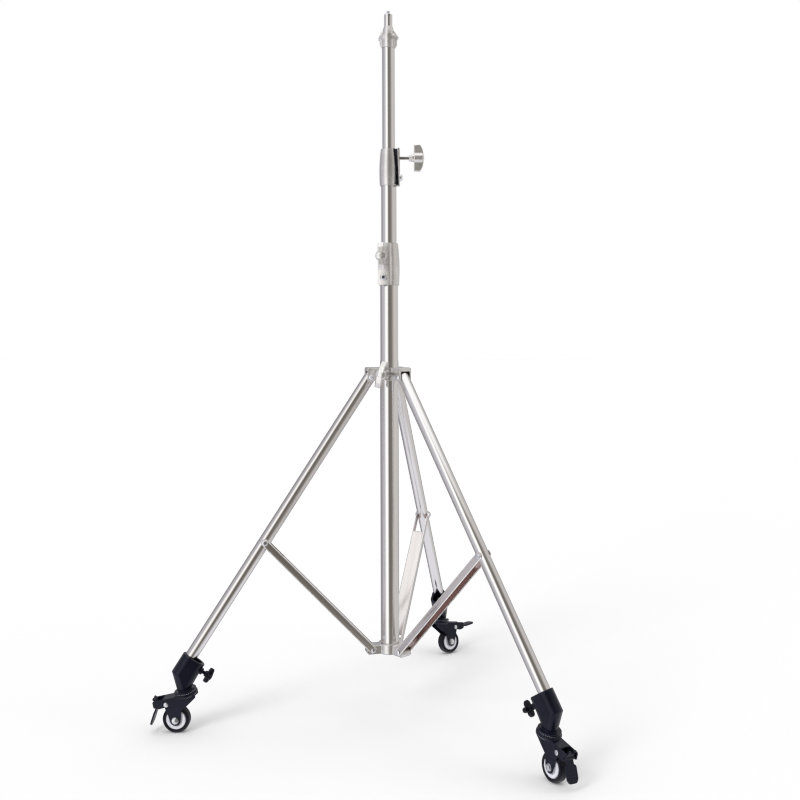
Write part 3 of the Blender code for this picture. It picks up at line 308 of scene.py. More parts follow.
def measure(node, place):
    """A CAD node's lowest and highest corner, seen from a place."""
    inverse = place.inverted()
    points = [inverse @ v.co for v in frame["nodes"][node].data.vertices]
    low = Vector([min(p[i] for p in points) for i in range(3)])
    high = Vector([max(p[i] for p in points) for i in range(3)])
    return low, high


column_foot = Vector((pivot("mid_riser_turn").x, pivot("mid_riser_turn").y, 0))
COLUMN = Matrix.Translation(column_foot)


# Shapes

def eased(outline, closed=True, steps=4):
    """Round the corners of an outline of (x, y, radius) points."""
    points = []
    for i, (x, y, radius) in enumerate(outline):
        here = Vector((x, y))
        before = Vector(outline[i - 1][:2]) - here
        after = Vector(outline[(i + 1) % len(outline)][:2]) - here
        at_end = not closed and i in (0, len(outline) - 1)
        if radius <= 0 or at_end:
            points.append((x, y))
            continue
        reach = radius / tan(before.angle(after) / 2)
        reach = min(reach, 0.49 * before.length, 0.49 * after.length)
        start = here + before.normalized() * reach
        end = here + after.normalized() * reach
        for step in range(steps + 1):
            t = step / steps
            point = start * (1 - t) ** 2 + here * 2 * t * (1 - t) + end * t * t
            points.append((point.x, point.y))
    return points


def arc(centre, radius, start, end, steps):
    """Points along an arc, angles in degrees."""
    turns = [radians(start + (end - start) * i / steps) for i in range(steps + 1)]
    return [(centre[0] + radius * cos(t), centre[1] + radius * sin(t)) for t in turns]


def lathe(profile, facets=48, ring=False):
    """Spin (radius, height) points about Z. A ring profile closes on itself."""
    shape = bmesh.new()
    points = [shape.verts.new((r, 0, z)) for r, z in profile]
    last = len(points) if ring else len(points) - 1
    edges = [shape.edges.new((points[i], points[(i + 1) % len(points)])) for i in range(last)]
    bmesh.ops.spin(shape, geom=points + edges, axis=(0, 0, 1), cent=(0, 0, 0), angle=2 * pi,
                   steps=facets, use_merge=True)
    bmesh.ops.remove_doubles(shape, verts=shape.verts[:], dist=1e-6)
    bmesh.ops.recalc_face_normals(shape, faces=shape.faces[:])
    return shape


def rod(radius, low, high, facets=32, edge=0.0):
    outline = [(0, low, 0), (radius, low, edge), (radius, high, edge), (0, high, 0)]
    return lathe(eased(outline, closed=False), facets)


def hexagon(flats, low, high, chamfer=0.0005):
    """A hexagon nut or key: six flats whose corners are turned off at both ends."""
    radius = flats / 2 / cos(pi / 6)
    shape = lathe([(0, low), (radius, low), (radius, high), (0, high)], 6)
    if chamfer <= 0:
        return shape
    past = radius * 1.01
    cone = lathe([(0, low), (flats / 2, low), (radius, low + chamfer), (past, low + chamfer),
                  (past, high - chamfer), (radius, high - chamfer), (flats / 2, high), (0, high)], 48)
    return carved(shape, "INTERSECT", cone)


def moved(shape, matrix):
    bmesh.ops.transform(shape, matrix=matrix, verts=shape.verts[:])
    return shape


def along_x(shape):
    """Stand a shape's +Z axis along +X, with its +X along +Y."""
    return moved(shape, Matrix(((0, 0, 1, 0), (1, 0, 0, 0), (0, 1, 0, 0), (0, 0, 0, 1))))


def along_y(shape):
    return moved(shape, Matrix.Rotation(-pi / 2, 4, "X"))


def shifted(shape, x=0.0, y=0.0, z=0.0):
    return moved(shape, Matrix.Translation((x, y, z)))


def loft(rings):
    """Skin a stack of point rings and close both ends."""
    shape = bmesh.new()
    rows = [[shape.verts.new(p) for p in ring] for ring in rings]
    count = len(rows[0])
    for below, above in zip(rows, rows[1:]):
        for i in range(count):
            j = (i + 1) % count
            shape.faces.new((below[i], below[j], above[j], above[i]))
    shape.faces.new(list(reversed(rows[0])))
    shape.faces.new(rows[-1])
    bmesh.ops.recalc_face_normals(shape, faces=shape.faces[:])
    return shape


def plate(outline, low, high):
    """Extrude an outline of (x, z) points from y = low to y = high."""
    return loft([[Vector((x, y, z)) for x, z in outline] for y in (low, high)])


def box(low, high):
    (x0, y0, z0), (x1, y1, z1) = low, high
    return plate([(x0, z0), (x1, z0), (x1, z1), (x0, z1)], y0, y1)


def loose(shape):
    """Put a shape on a passing object, so that modifiers can work on it."""
    mesh = bpy.data.meshes.new("passing")
    shape.to_mesh(mesh)
    shape.free()
    obj = bpy.data.objects.new("passing", mesh)
    bpy.context.scene.collection.objects.link(obj)
    return obj


def taken(obj):
    """What an object's modifiers make of it, as a new shape. The object goes."""
    graph = bpy.context.evaluated_depsgraph_get()
    mesh = bpy.data.meshes.new_from_object(obj.evaluated_get(graph))
    shape = bmesh.new()
    shape.from_mesh(mesh)
    bpy.data.meshes.remove(mesh)
    bpy.data.objects.remove(obj)
    return shape


def carved(shape, operation, *others):
    """Join, cut or intersect a shape with others."""
    obj = loose(shape)
    tools = [loose(other) for other in others]
    for tool in tools:
        step = obj.modifiers.new("carve", "BOOLEAN")
        step.operation = operation
        step.solver = "EXACT"
        step.object = tool
    result = taken(obj)
    for tool in tools:
        bpy.data.objects.remove(tool)
    return result


def joined(shape, *others):
    return carved(shape, "UNION", *others)


def cut(shape, *others):
    return carved(shape, "DIFFERENCE", *others)


def cast(shape, grain, rounds=5, keep=0.5):
    """Give a shape the soft edges and fillets of a casting, down to 'grain'."""
    obj = loose(shape)
    melt = obj.modifiers.new("melt", "REMESH")
    melt.mode = "VOXEL"
    melt.voxel_size = grain
    even = obj.modifiers.new("even", "SMOOTH")
    even.factor = 0.5
    even.iterations = rounds
    thin = obj.modifiers.new("thin", "DECIMATE")
    thin.ratio = keep
    return taken(obj)


def edged(shape, width, segments=2, angle=40):
    """Break a shape's sharp edges."""
    obj = loose(shape)
    step = obj.modifiers.new("edge", "BEVEL")
    step.width = width
    step.segments = segments
    step.limit_method = "ANGLE"
    step.angle_limit = radians(angle)
    step.use_clamp_overlap = True
    return taken(obj)


def together(*shapes):
    """Hold several closed shapes in one."""
    whole = bmesh.new()
    for shape in shapes:
        mesh = bpy.data.meshes.new("passing")
        shape.to_mesh(mesh)
        shape.free()
        whole.from_mesh(mesh)
        bpy.data.meshes.remove(mesh)
    return whole


def thread(radius, pitch, low, high, facets=28, rows=6):
    """A screw's shank, whose surface rises and falls along one helix."""
    depth = pitch * THREAD_DEPTH
    count = max(6, round((high - low) / pitch * rows))
    rings = []
    for i in range(count + 1):
        z = low + (high - low) * i / count
        inset = depth if i in (0, count) else 0.0
        ring = []
        for k in range(facets):
            phase = (z / pitch - k / facets) % 1.0
            groove = abs(phase - 0.5) * 2
            r = radius - max(inset, depth * groove)
            ring.append(Vector((r * cos(2 * pi * k / facets), r * sin(2 * pi * k / facets), z)))
        rings.append(ring)
    return loft(rings)


def oblong(centre, along, half_length, half_width, facets=64):
    """A round-ended ring of points; 'along' is its long direction in the XZ plane."""
    straight = half_length - half_width
    points = []
    for i in range(facets):
        turn = 2 * pi * (i + 0.5) / facets
        far = half_width * cos(turn) + (straight if cos(turn) > 0 else -straight)
        points.append(Vector(centre) + Vector(along) * far + Vector((0, half_width * sin(turn), 0)))
    return points


# Geometry Nodes

def new_tree(name, inputs):
    """A node group with named number inputs and a geometry output, and its in and out nodes."""
    tree = bpy.data.node_groups.new(name, "GeometryNodeTree")
    tree.interface.new_socket("Geometry", in_out="OUTPUT", socket_type="NodeSocketGeometry")
    for label, kind in inputs:
        tree.interface.new_socket(label, in_out="INPUT", socket_type=kind)
    return tree, tree.nodes.new("NodeGroupInput"), tree.nodes.new("NodeGroupOutput")


def put(tree, kind, settings=None, values=None, links=None):
    """Add a node with its settings, its sockets' values and the links into it."""
    made = tree.nodes.new(kind)
    for name, value in (settings or {}).items():
        setattr(made, name, value)
    for socket, value in (values or {}).items():
        made.inputs[socket].default_value = value
    for socket, source in (links or {}).items():
        tree.links.new(source, made.inputs[socket])
    return made


def grown(tree, values, shape=None):
    """Run a node group with these inputs and return the shape that it makes."""
    obj = loose(shape or bmesh.new())
    step = obj.modifiers.new("grow", "NODES")
    step.node_group = tree
    for item in tree.interface.items_tree:
        if item.in_out == "INPUT" and item.name in values:
            step[item.identifier] = values[item.name]
    return taken(obj)


def close_tree(tree, given, result, shape):
    """End a node group: its copies are made real and its material is set."""
    real = put(tree, "GeometryNodeRealizeInstances", {}, {}, {"Geometry": shape.outputs[0]})
    dressed = put(tree, "GeometryNodeSetMaterial", {}, {},
                  {"Geometry": real.outputs[0], "Material": given.outputs["Material"]})
    tree.links.new(dressed.outputs[0], result.inputs[0])
    return tree


def tube_tree():
    """A tube that stands on z = 0: a round-cornered wall section, swept round a circle."""
    tree, given, result = new_tree("tube", [("Radius", "NodeSocketFloat"), ("Wall", "NodeSocketFloat"),
                                            ("Length", "NodeSocketFloat"), ("Edge", "NodeSocketFloat"),
                                            ("Facets", "NodeSocketInt"), ("Material", "NodeSocketMaterial")])
    half_wall = put(tree, "ShaderNodeMath", {"operation": "MULTIPLY"}, {1: 0.5}, {0: given.outputs["Wall"]})
    middle = put(tree, "ShaderNodeMath", {"operation": "SUBTRACT"}, {},
                 {0: given.outputs["Radius"], 1: half_wall.outputs[0]})
    path = put(tree, "GeometryNodeCurvePrimitiveCircle", {}, {},
               {"Resolution": given.outputs["Facets"], "Radius": middle.outputs[0]})
    section = put(tree, "GeometryNodeCurvePrimitiveQuadrilateral", {}, {},
                  {"Width": given.outputs["Wall"], "Height": given.outputs["Length"]})
    corners = put(tree, "GeometryNodeFilletCurve", {"mode": "POLY"}, {"Limit Radius": True, "Count": 3},
                  {"Curve": section.outputs[0], "Radius": given.outputs["Edge"]})
    wall = put(tree, "GeometryNodeCurveToMesh", {}, {},
               {"Curve": path.outputs[0], "Profile Curve": corners.outputs[0]})
    half_length = put(tree, "ShaderNodeMath", {"operation": "MULTIPLY"}, {1: 0.5},
                      {0: given.outputs["Length"]})
    lift = put(tree, "ShaderNodeCombineXYZ", {}, {}, {"Z": half_length.outputs[0]})
    stood = put(tree, "GeometryNodeTransform", {}, {},
                {"Geometry": wall.outputs[0], "Translation": lift.outputs[0]})
    return close_tree(tree, given, result, stood)


def ball_ring_tree():
    """A ring of bearing balls about Z."""
    tree, given, result = new_tree("ball_ring", [("Radius", "NodeSocketFloat"), ("Ball", "NodeSocketFloat"),
                                                 ("Count", "NodeSocketInt"),
                                                 ("Material", "NodeSocketMaterial")])
    ring = put(tree, "GeometryNodeMeshCircle", {}, {},
               {"Vertices": given.outputs["Count"], "Radius": given.outputs["Radius"]})
    ball = put(tree, "GeometryNodeMeshUVSphere", {}, {"Segments": 14, "Rings": 8},
               {"Radius": given.outputs["Ball"]})
    smooth = put(tree, "GeometryNodeSetShadeSmooth", {}, {}, {"Geometry": ball.outputs[0]})
    copies = put(tree, "GeometryNodeInstanceOnPoints", {}, {},
                 {"Points": ring.outputs[0], "Instance": smooth.outputs[0]})
    return close_tree(tree, given, result, copies)


def rib_tree():
    """A row of round-backed grip ribs along +Z, each lying along Y."""
    tree, given, result = new_tree("ribs", [("Pitch", "NodeSocketFloat"), ("Width", "NodeSocketFloat"),
                                            ("Radius", "NodeSocketFloat"), ("Count", "NodeSocketInt"),
                                            ("Material", "NodeSocketMaterial")])
    step = put(tree, "ShaderNodeCombineXYZ", {}, {}, {"Z": given.outputs["Pitch"]})
    row = put(tree, "GeometryNodeMeshLine", {}, {},
              {"Count": given.outputs["Count"], "Offset": step.outputs[0]})
    half = put(tree, "ShaderNodeMath", {"operation": "MULTIPLY"}, {1: 0.5}, {0: given.outputs["Width"]})
    back = put(tree, "ShaderNodeMath", {"operation": "MULTIPLY"}, {1: -1.0}, {0: half.outputs[0]})
    start = put(tree, "ShaderNodeCombineXYZ", {}, {}, {"Y": back.outputs[0]})
    end = put(tree, "ShaderNodeCombineXYZ", {}, {}, {"Y": half.outputs[0]})
    line = put(tree, "GeometryNodeCurvePrimitiveLine", {}, {},
               {"Start": start.outputs[0], "End": end.outputs[0]})
    section = put(tree, "GeometryNodeCurvePrimitiveCircle", {}, {"Resolution": 12},
                  {"Radius": given.outputs["Radius"]})
    rib = put(tree, "GeometryNodeCurveToMesh", {}, {"Fill Caps": True},
              {"Curve": line.outputs[0], "Profile Curve": section.outputs[0]})
    copies = put(tree, "GeometryNodeInstanceOnPoints", {}, {},
                 {"Points": row.outputs[0], "Instance": rib.outputs[0]})
    return close_tree(tree, given, result, copies)


# Finishes. Their real grain is too fine to show from where the camera stands, so it is drawn coarser.

CLOUD_SPAN = 40               # how many grains wide a finish's slow change of colour is


def linear(code, alpha=1.0):
    """An sRGB hex colour as Blender's linear colour."""
    channels = [int(code[i:i + 2], 16) / 255 for i in (1, 3, 5)]
    return tuple(c / 12.92 if c <= 0.04045 else ((c + 0.055) / 1.055) ** 2.4 for c in channels) + (alpha,)


def new_finish(name):
    """A material with its Principled shader, ready for nodes."""
    made = bpy.data.materials.new(name)
    made.use_nodes = True
    return made, made.node_tree, made.node_tree.nodes["Principled BSDF"]


def grain(tree, place, size, detail=4.0, roughness=0.5):
    """Noise over the piece, whose features have this size along the place's three axes."""
    where = put(tree, "ShaderNodeTexCoord")
    turned = put(tree, "ShaderNodeMapping", {"vector_type": "TEXTURE"},
                 {"Location": place.translation, "Rotation": place.to_euler(), "Scale": size},
                 {"Vector": where.outputs["Object"]})
    return put(tree, "ShaderNodeTexNoise", {}, {"Scale": 1.0, "Detail": detail, "Roughness": roughness},
               {"Vector": turned.outputs[0]})


def spread(tree, source, low, high):
    """Bring noise, which lies mostly between 0.3 and 0.7, to a range of values."""
    made = put(tree, "ShaderNodeMapRange", {},
               {"From Min": 0.3, "From Max": 0.7, "To Min": low, "To Max": high}, {"Value": source})
    return made.outputs[0]


def shades(tree, source, first, second, low=0.35, high=0.65):
    """Colours that run from one to the other as the source rises."""
    ramp = put(tree, "ShaderNodeValToRGB", {}, {}, {"Fac": source})
    ramp.color_ramp.elements[0].position = low
    ramp.color_ramp.elements[0].color = linear(first)
    ramp.color_ramp.elements[1].position = high
    ramp.color_ramp.elements[1].color = linear(second)
    return ramp.outputs["Color"]


def bump(tree, shader, source, distance, strength=1.0):
    made = put(tree, "ShaderNodeBump", {}, {"Strength": strength, "Distance": distance}, {"Height": source})
    tree.links.new(made.outputs[0], shader.inputs["Normal"])


def finish(name, place, size, colours, roughness, relief, metallic=0.0, detail=4.0):
    """A finish whose colour, roughness and relief all follow one grain."""
    made, tree, shader = new_finish(name)
    noise = grain(tree, place, size, detail).outputs["Fac"]
    cloud = grain(tree, place, [s * CLOUD_SPAN for s in size], 2.0).outputs["Fac"]
    tree.links.new(shades(tree, cloud, *colours), shader.inputs["Base Color"])
    tree.links.new(spread(tree, noise, *roughness), shader.inputs["Roughness"])
    bump(tree, shader, noise, relief)
    shader.inputs["Metallic"].default_value = metallic
    return made


def polished_tube(name, place):
    """Polished stainless tube: mirror bright, with faint draw lines along it."""
    return finish(name, place, (0.0006, 0.0006, 0.09), ("#DAD7D5", "#E6E4E3"), (0.10, 0.17), 0.0000025, 1.0)


def polished_sheet(name, place):
    """Folded stainless strip: bright, a little duller than the tubes, rolled along its length."""
    return finish(name, place, (0.0005, 0.0005, 0.05), ("#D0CAC7", "#DEDAD7"), (0.12, 0.22), 0.000004, 1.0)


def channel_sheet_painted_light(name, place, web, far):
    """The polished sheet of a channel, with painted light: painted shade tints it brown inside, and painted
    highlights make its folds and free edges near white.
    """
    made = polished_sheet(name, place)
    tree = made.node_tree
    shader = tree.nodes["Principled BSDF"]
    where = put(tree, "ShaderNodeTexCoord")
    turned = put(tree, "ShaderNodeMapping", {"vector_type": "TEXTURE"},
                 {"Location": place.translation, "Rotation": place.to_euler()},
                 {"Vector": where.outputs["Object"]})
    parts = put(tree, "ShaderNodeSeparateXYZ", {}, {}, {"Vector": turned.outputs[0]})
    side = put(tree, "ShaderNodeMath", {"operation": "ABSOLUTE"}, {}, {0: parts.outputs["Y"]})

    def mask(kind, value, source, other=None):
        step = put(tree, "ShaderNodeMath", {"operation": kind}, {1: value}, {0: source})
        if other is None:
            return step.outputs[0]
        both = put(tree, "ShaderNodeMath", {"operation": "MULTIPLY"}, {}, {0: step.outputs[0], 1: other})
        return both.outputs[0]

    # Painted shade: a mask over the channel's inner faces, between the flanges and above the web
    inner = mask("LESS_THAN", far - BRACE_SHEET * 0.6, side.outputs[0],
                 mask("GREATER_THAN", web + BRACE_SHEET * 0.6, parts.outputs["X"]))
    # Painted highlight: a mask along each fold between web and flange
    fold = mask("LESS_THAN", web + BRACE_BEND * 0.6, parts.outputs["X"],
                mask("GREATER_THAN", far - BRACE_BEND * 0.6, side.outputs[0]))
    # Painted highlight: a mask along the flanges' free edges
    rim = mask("GREATER_THAN", -web - BRACE_SHEET * 0.9, parts.outputs["X"])
    bright = put(tree, "ShaderNodeMath", {"operation": "MAXIMUM"}, {}, {0: fold, 1: rim}).outputs[0]
    sheet = shader.inputs["Base Color"].links[0].from_socket
    # Painted shade: the inside of the channel is tinted brown
    dull = put(tree, "ShaderNodeMix", {"data_type": "RGBA"}, {7: linear("#C4B2AD")}, {0: inner, 6: sheet})
    # Painted highlights: the folds and free edges are coloured near white
    edge = put(tree, "ShaderNodeMix", {"data_type": "RGBA"}, {7: linear("#FBF8F6")},
               {0: bright, 6: dull.outputs[2]})
    tree.links.new(edge.outputs[2], shader.inputs["Base Color"])
    # The painted highlights are made less metallic, so that they show near white under any light
    plated = put(tree, "ShaderNodeMapRange", {}, {"To Min": 1.0, "To Max": 0.25}, {"Value": bright})
    tree.links.new(plated.outputs[0], shader.inputs["Metallic"])
    return made


def satin_casting(name, place):
    """Die-cast alloy under bright plate: blurred reflections over a fine sandy grain."""
    return finish(name, place, (0.0009,) * 3, ("#D5D2D0", "#E4E2E0"), (0.22, 0.32), 0.000011, 0.88)


def zinc_plate(name, place):
    """Bright zinc on small fasteners: pale and faintly blue."""
    return finish(name, place, (0.0007,) * 3, ("#D5D7DC", "#E8E9EE"), (0.16, 0.26), 0.000004, 1.0)


def thread_steel(name, place):
    """Bare steel of the knobs' screws: darker than the plated parts, oiled in the thread."""
    return finish(name, place, (0.0006,) * 3, ("#8C8884", "#A5A19D"), (0.25, 0.38), 0.000005, 1.0)


def black_oxide_and_socket_shade(name, place):
    """Screws under oiled black oxide: dark steel with a dull gleam. The same finish stands as painted shade
    at the bottom of the hex sockets.
    """
    return finish(name, place, (0.0006,) * 3, ("#26262A", "#34343A"), (0.28, 0.42), 0.000005, 1.0)


def black_enamel(name, place):
    """Black powder coat on pressed steel: a glossy skin with fine orange peel, a touch of blue."""
    made = finish(name, place, (0.0011,) * 3, ("#0D0E18", "#151724"), (0.20, 0.32), 0.00001)
    shader = made.node_tree.nodes["Principled BSDF"]
    shader.inputs["Specular IOR Level"].default_value = 0.18
    shader.inputs["Specular Tint"].default_value = linear("#A4ACDC")
    shader.inputs["Coat Weight"].default_value = 0.25
    shader.inputs["Coat Roughness"].default_value = 0.08
    return made


def black_moulding(name, place):
    """Moulded black plastic: an even, fine spark texture and a dull sheen."""
    made = finish(name, place, (0.0005,) * 3, ("#0D0E16", "#14151F"), (0.30, 0.44), 0.000010)
    made.node_tree.nodes["Principled BSDF"].inputs["Specular IOR Level"].default_value = 0.2
    return made


def tyre_rubber(name, place):
    """Cast polyurethane tread: near black with a violet cast, dull with faint scuffs."""
    made = finish(name, place, (0.0009,) * 3, ("#100F18", "#181722"), (0.38, 0.55), 0.000015)
    made.node_tree.nodes["Principled BSDF"].inputs["Specular IOR Level"].default_value = 0.2
    return made


def wheel_moulding(name, place):
    """Pale moulded wheel centre: off-white plastic with a slight lilac cast and soft gloss."""
    return finish(name, place, (0.0012,) * 3, ("#DCDCE6", "#ECECF3"), (0.30, 0.42), 0.000008)


# Pieces

def piece(name, shape, place, material, body, *nodes, smooth=38):
    """Set a finished shape into the stand, on its body and in place of its CAD nodes."""
    moved(shape, place)
    mesh = bpy.data.meshes.new(name)
    shape.to_mesh(mesh)
    shape.free()
    mesh.shade_smooth()
    if smooth:
        mesh.set_sharp_from_angle(angle=radians(smooth))
    mesh.materials.clear()
    mesh.materials.append(material)
    obj = bpy.data.objects.new(name, mesh)
    bpy.context.scene.collection.objects.link(obj)
    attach(obj, body)
    if nodes:
        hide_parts(*nodes)
    return obj


def column_tubes(tree):
    """The three nested tubes, the plug in the foot and the bushes on the risers' lower ends."""
    for node, body in (("base_tube", "base"), ("mid_riser_tube", "mid_riser"),
                       ("top_riser_tube", "top_riser")):
        low, high = measure(node, COLUMN)
        radius = (high.x - low.x) / 2
        steel = polished_tube(node + "_steel", COLUMN)
        shape = grown(tree, {"Radius": radius, "Wall": TUBE_WALL, "Length": high.z - low.z, "Edge": TUBE_EDGE,
                             "Facets": TUBE_FACETS, "Material": steel})
        piece(node + "_wall", shifted(shape, z=low.z), COLUMN, steel, body, node)
    for node, body in (("mid_slide_bush", "mid_slider"), ("top_slide_bush", "top_slider")):
        low, high = measure(node, COLUMN)
        plastic = black_moulding(node + "_plastic", COLUMN)
        shape = grown(tree, {"Radius": high.x, "Wall": BUSH_WALL, "Length": high.z - low.z,
                             "Edge": TUBE_EDGE / 2, "Facets": 64, "Material": plastic})
        piece(node + "_sleeve", shifted(shape, z=low.z), COLUMN, plastic, body, node)
    low, high = measure("base_end_plug", COLUMN)
    r = high.x
    dish = low.z + PLUG_DISH
    outline = [(0, dish, 0), (r * 0.55, dish, 0.0008), (r * 0.72, low.z, 0.0008),
               (r, low.z, 0.0006), (r, high.z, 0.0006), (0, high.z, 0)]
    piece("base_end_plug_moulding", lathe(eased(outline, closed=False), 64), COLUMN,
          black_moulding("plug_plastic", COLUMN), "base", "base_end_plug")


def slot_angle(t):
    return SLOT_ANGLE_FOOT + (SLOT_ANGLE_TOP - SLOT_ANGLE_FOOT) * t


def collar_level(outer_r, bore_r, flat_x, t, z):
    """One level of a collar: an open ring whose wall runs on as a flat ear toward -Y."""
    inner_x = flat_x - COLLAR_EAR_FOOT - (COLLAR_EAR_TOP - COLLAR_EAR_FOOT) * t
    reach = -COLLAR_EAR_REACH
    start = degrees(atan2(COLLAR_EAR_BACK, outer_r)) + COLLAR_EAR_BLEND
    open_end = 360 - slot_angle(t)
    bore_start = degrees(asin(-PAD_CLEAR_OF_AXIS / bore_r))
    round_end = arc((0, 0), outer_r, start, open_end, COLLAR_ARC)
    ear = eased([(*round_end[0], 0), (flat_x, COLLAR_EAR_BACK, COLLAR_EAR_ROUND),
                 (flat_x - COLLAR_EAR_DRAFT, reach, COLLAR_EDGE), (inner_x, reach, COLLAR_EDGE),
                 (inner_x, -PAD_CLEAR_OF_AXIS, 0)], closed=False)
    bore = arc((0, 0), bore_r, open_end, bore_start, COLLAR_ARC)
    points = list(reversed(ear))[:-1] + round_end + bore
    return [Vector((x, y, z)) for x, y in points]


def collar_radius(t, foot_r, belly_r, top_r):
    """The barrel's outer radius, t of the way up: widest a little below the middle."""
    if t < COLLAR_BELLY:
        return belly_r - (belly_r - foot_r) * ((COLLAR_BELLY - t) / COLLAR_BELLY) ** 2
    return belly_r - (belly_r - top_r) * ((t - COLLAR_BELLY) / (1 - COLLAR_BELLY)) ** 1.7


def collar(which, knob_joint, body, lower_tube, riser_tube):
    """A barrel clamp with its black pad, its clamp bolt and the ear that the knob's screw goes through."""
    node = which + "_collar"
    foot = column_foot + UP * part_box(node)[0].z
    place = axes_at(foot, x=direction(knob_joint), z=UP)
    high = measure(node, place)[1]
    height, flat_x, belly_r = high.z, high.x, high.y
    lower_r = measure(lower_tube, COLUMN)[1].x
    riser_r = measure(riser_tube, COLUMN)[1].x
    bore_r = lower_r + GAP
    levels = []
    for i in range(COLLAR_ROWS + 1):
        t = i / COLLAR_ROWS
        outer = collar_radius(t, lower_r + COLLAR_FOOT_WALL, belly_r, riser_r + COLLAR_TOP_WALL)
        bore = bore_r if t <= COLLAR_STEP else riser_r + 2 * GAP + LINER_WALL
        levels.append(collar_level(outer, bore, flat_x, t, height * t))
    shape = edged(loft(levels), COLLAR_EDGE * 0.7, segments=3, angle=60)
    casting = satin_casting(node + "_casting", place)
    holes = []
    for up in (COLLAR_BOLT_UP, COLLAR_KNOB_UP):
        hole = rod(KNOB_SCREW_D / 2 + GAP, flat_x - COLLAR_HOLE_IN, flat_x + COLLAR_HOLE_OUT)
        holes.append(shifted(along_x(hole), y=-COLLAR_SCREW_SIDE, z=up))
    piece(node + "_barrel", cut(shape, *holes), place, casting, body, node)
    pad = []
    for i in range(PAD_ROWS + 1):
        t = PAD_END + (1 - 2 * PAD_END) * i / PAD_ROWS
        pad_x = flat_x - COLLAR_EAR_FOOT - (COLLAR_EAR_TOP - COLLAR_EAR_FOOT) * t - GAP
        side = PAD_SIDE_GAP - slot_angle(t)
        inner = (lower_r if t <= COLLAR_STEP else riser_r) + 2 * GAP
        outline = [(pad_x, -PAD_CLEAR_OF_AXIS - GAP), (pad_x, -PAD_REACH),
                   (pad_x - 2 * LINER_WALL, -PAD_REACH)]
        outline += arc((0, 0), belly_r, side, side, 1)[:1] + arc((0, 0), inner, side, -PAD_TURN_END, 10)
        pad.append([Vector((x, y, height * t)) for x, y in outline])
    near, far = riser_r + GAP, riser_r + GAP + LINER_WALL
    sill, lip = height * LINER_FOOT, height + LINER_LIP
    lining = lathe([(near, sill), (far, sill), (far, lip), (near, lip)], 64, ring=True)
    piece(node + "_pad", together(loft(pad), lining), place, black_moulding(node + "_pad_plastic", place),
          body, node + "_liner")
    bolt_low, bolt_high = measure(node + "_bolt", place)
    head_r = (bolt_high.z - bolt_low.z) / 2
    head_start = flat_x + GAP
    head = button_head(head_r, head_start, bolt_high.x)
    seat = rod(head_r, flat_x - COLLAR_EAR_DRAFT, head_start + GAP, 48, HAIR)
    shank = rod(KNOB_SCREW_D / 2, bolt_low.x, head_start + OVERLAP)
    centre = (0, (bolt_low.y + bolt_high.y) / 2, (bolt_low.z + bolt_high.z) / 2)
    bolt = moved(along_x(joined(head, seat, shank)), Matrix.Translation(centre))
    piece(node + "_bolt_plated", bolt, place, zinc_plate(node + "_bolt_zinc", place), body, node + "_bolt")
    # Painted shade: a black rod at the bottom of the bolt's hex socket
    core = moved(along_x(painted_socket_shade(bolt_high.x)), Matrix.Translation(centre))
    piece(node + "_bolt_socket", core, place, black_oxide_and_socket_shade(node + "_bolt_socket_painted_shade", place), body)


def painted_socket_shade(high):
    """Painted shade: a short black rod at the bottom of a plated head's hex socket, where the socket's shade
    falls.
    """
    return rod(HEX_KEY_FLATS / 2 * 0.98, high - HEX_KEY_DEPTH + HAIR, high - HEX_KEY_DEPTH * 0.4, 32)


def button_head(radius, low, high):
    """A domed screw head with a hexagon socket."""
    outline = [(0, low, 0), (radius, low, 0.0003), (radius, low + (high - low) * 0.3, 0.0008),
               (radius * 0.72, high, 0.0008), (0, high, 0)]
    head = lathe(eased(outline, closed=False), 48)
    key = hexagon(HEX_KEY_FLATS, high - HEX_KEY_DEPTH, high + HEX_KEY_DEPTH, 0)
    return cut(head, key)


def wing_knob(turn):
    """A cast clamp knob's body: a domed round middle and two wings, its back face at z = 0."""
    middle_r, tip = KNOB_MIDDLE_D / 2, KNOB_SPAN / 2
    full = KNOB_THICK + KNOB_DOME
    middle = lathe(eased([(0, 0, 0), (middle_r, 0, 0.001), (middle_r, full * 0.88, 0.003),
                          (middle_r * 0.35, full, 0.006), (0, full, 0)], closed=False, steps=6), 48)
    half = KNOB_WING_WIDTH / 2
    wings = []
    for end in (tip, -tip):
        outline = eased([(0, 0, 0), (end * 0.97, 0, 0.001), (end, KNOB_THICK * 0.97, 0.0012),
                         (end * 0.66, KNOB_THICK + KNOB_DOME * 0.62, 0.014), (end * 0.3, full * 0.96, 0.010),
                         (0, full * 0.96, 0)], steps=6)
        wings.append(edged(plate(outline, -half, half), KNOB_WING_EDGE, segments=3, angle=50))
    shape = moved(joined(middle, *wings), Matrix.Rotation(radians(turn), 4, "Z"))
    return cast(shape, grain=0.0005, rounds=3, keep=0.45)


def clamp_knob(which, joint, body, node):
    """A clamp knob on its threaded screw, which runs along the joint's axis."""
    place = axes_at(pivot(joint), x=direction(joint), z=UP)
    low, high = measure(node, place)
    back = high.x - KNOB_THICK - KNOB_DOME
    knob = along_x(shifted(wing_knob(KNOB_TURNS[which]), z=back))
    piece(node + "_wings", knob, place, satin_casting(node + "_casting", place), body, node, smooth=0)
    boss_r = KNOB_BOSS_D / 2
    neck = [(0, back - KNOB_BOSS_LENGTH, 0), (boss_r * 0.82, back - KNOB_BOSS_LENGTH, 0.0008),
            (boss_r * 0.86, back - KNOB_BOSS_LENGTH * 0.55, 0.001),
            (boss_r, back - KNOB_BOSS_LENGTH * 0.4, 0.001), (boss_r, back + OVERLAP, 0),
            (0, back + OVERLAP, 0)]
    boss = along_x(lathe(eased(neck, closed=False), 48))
    piece(node + "_boss", boss, place, satin_casting(node + "_boss_casting", place), body)
    screw = thread(KNOB_SCREW_D / 2, KNOB_SCREW_PITCH, low.x, back - KNOB_BOSS_LENGTH + SCREW_ROOT)
    piece(node + "_screw", along_x(screw), place, thread_steel(node + "_screw_steel", place), body)


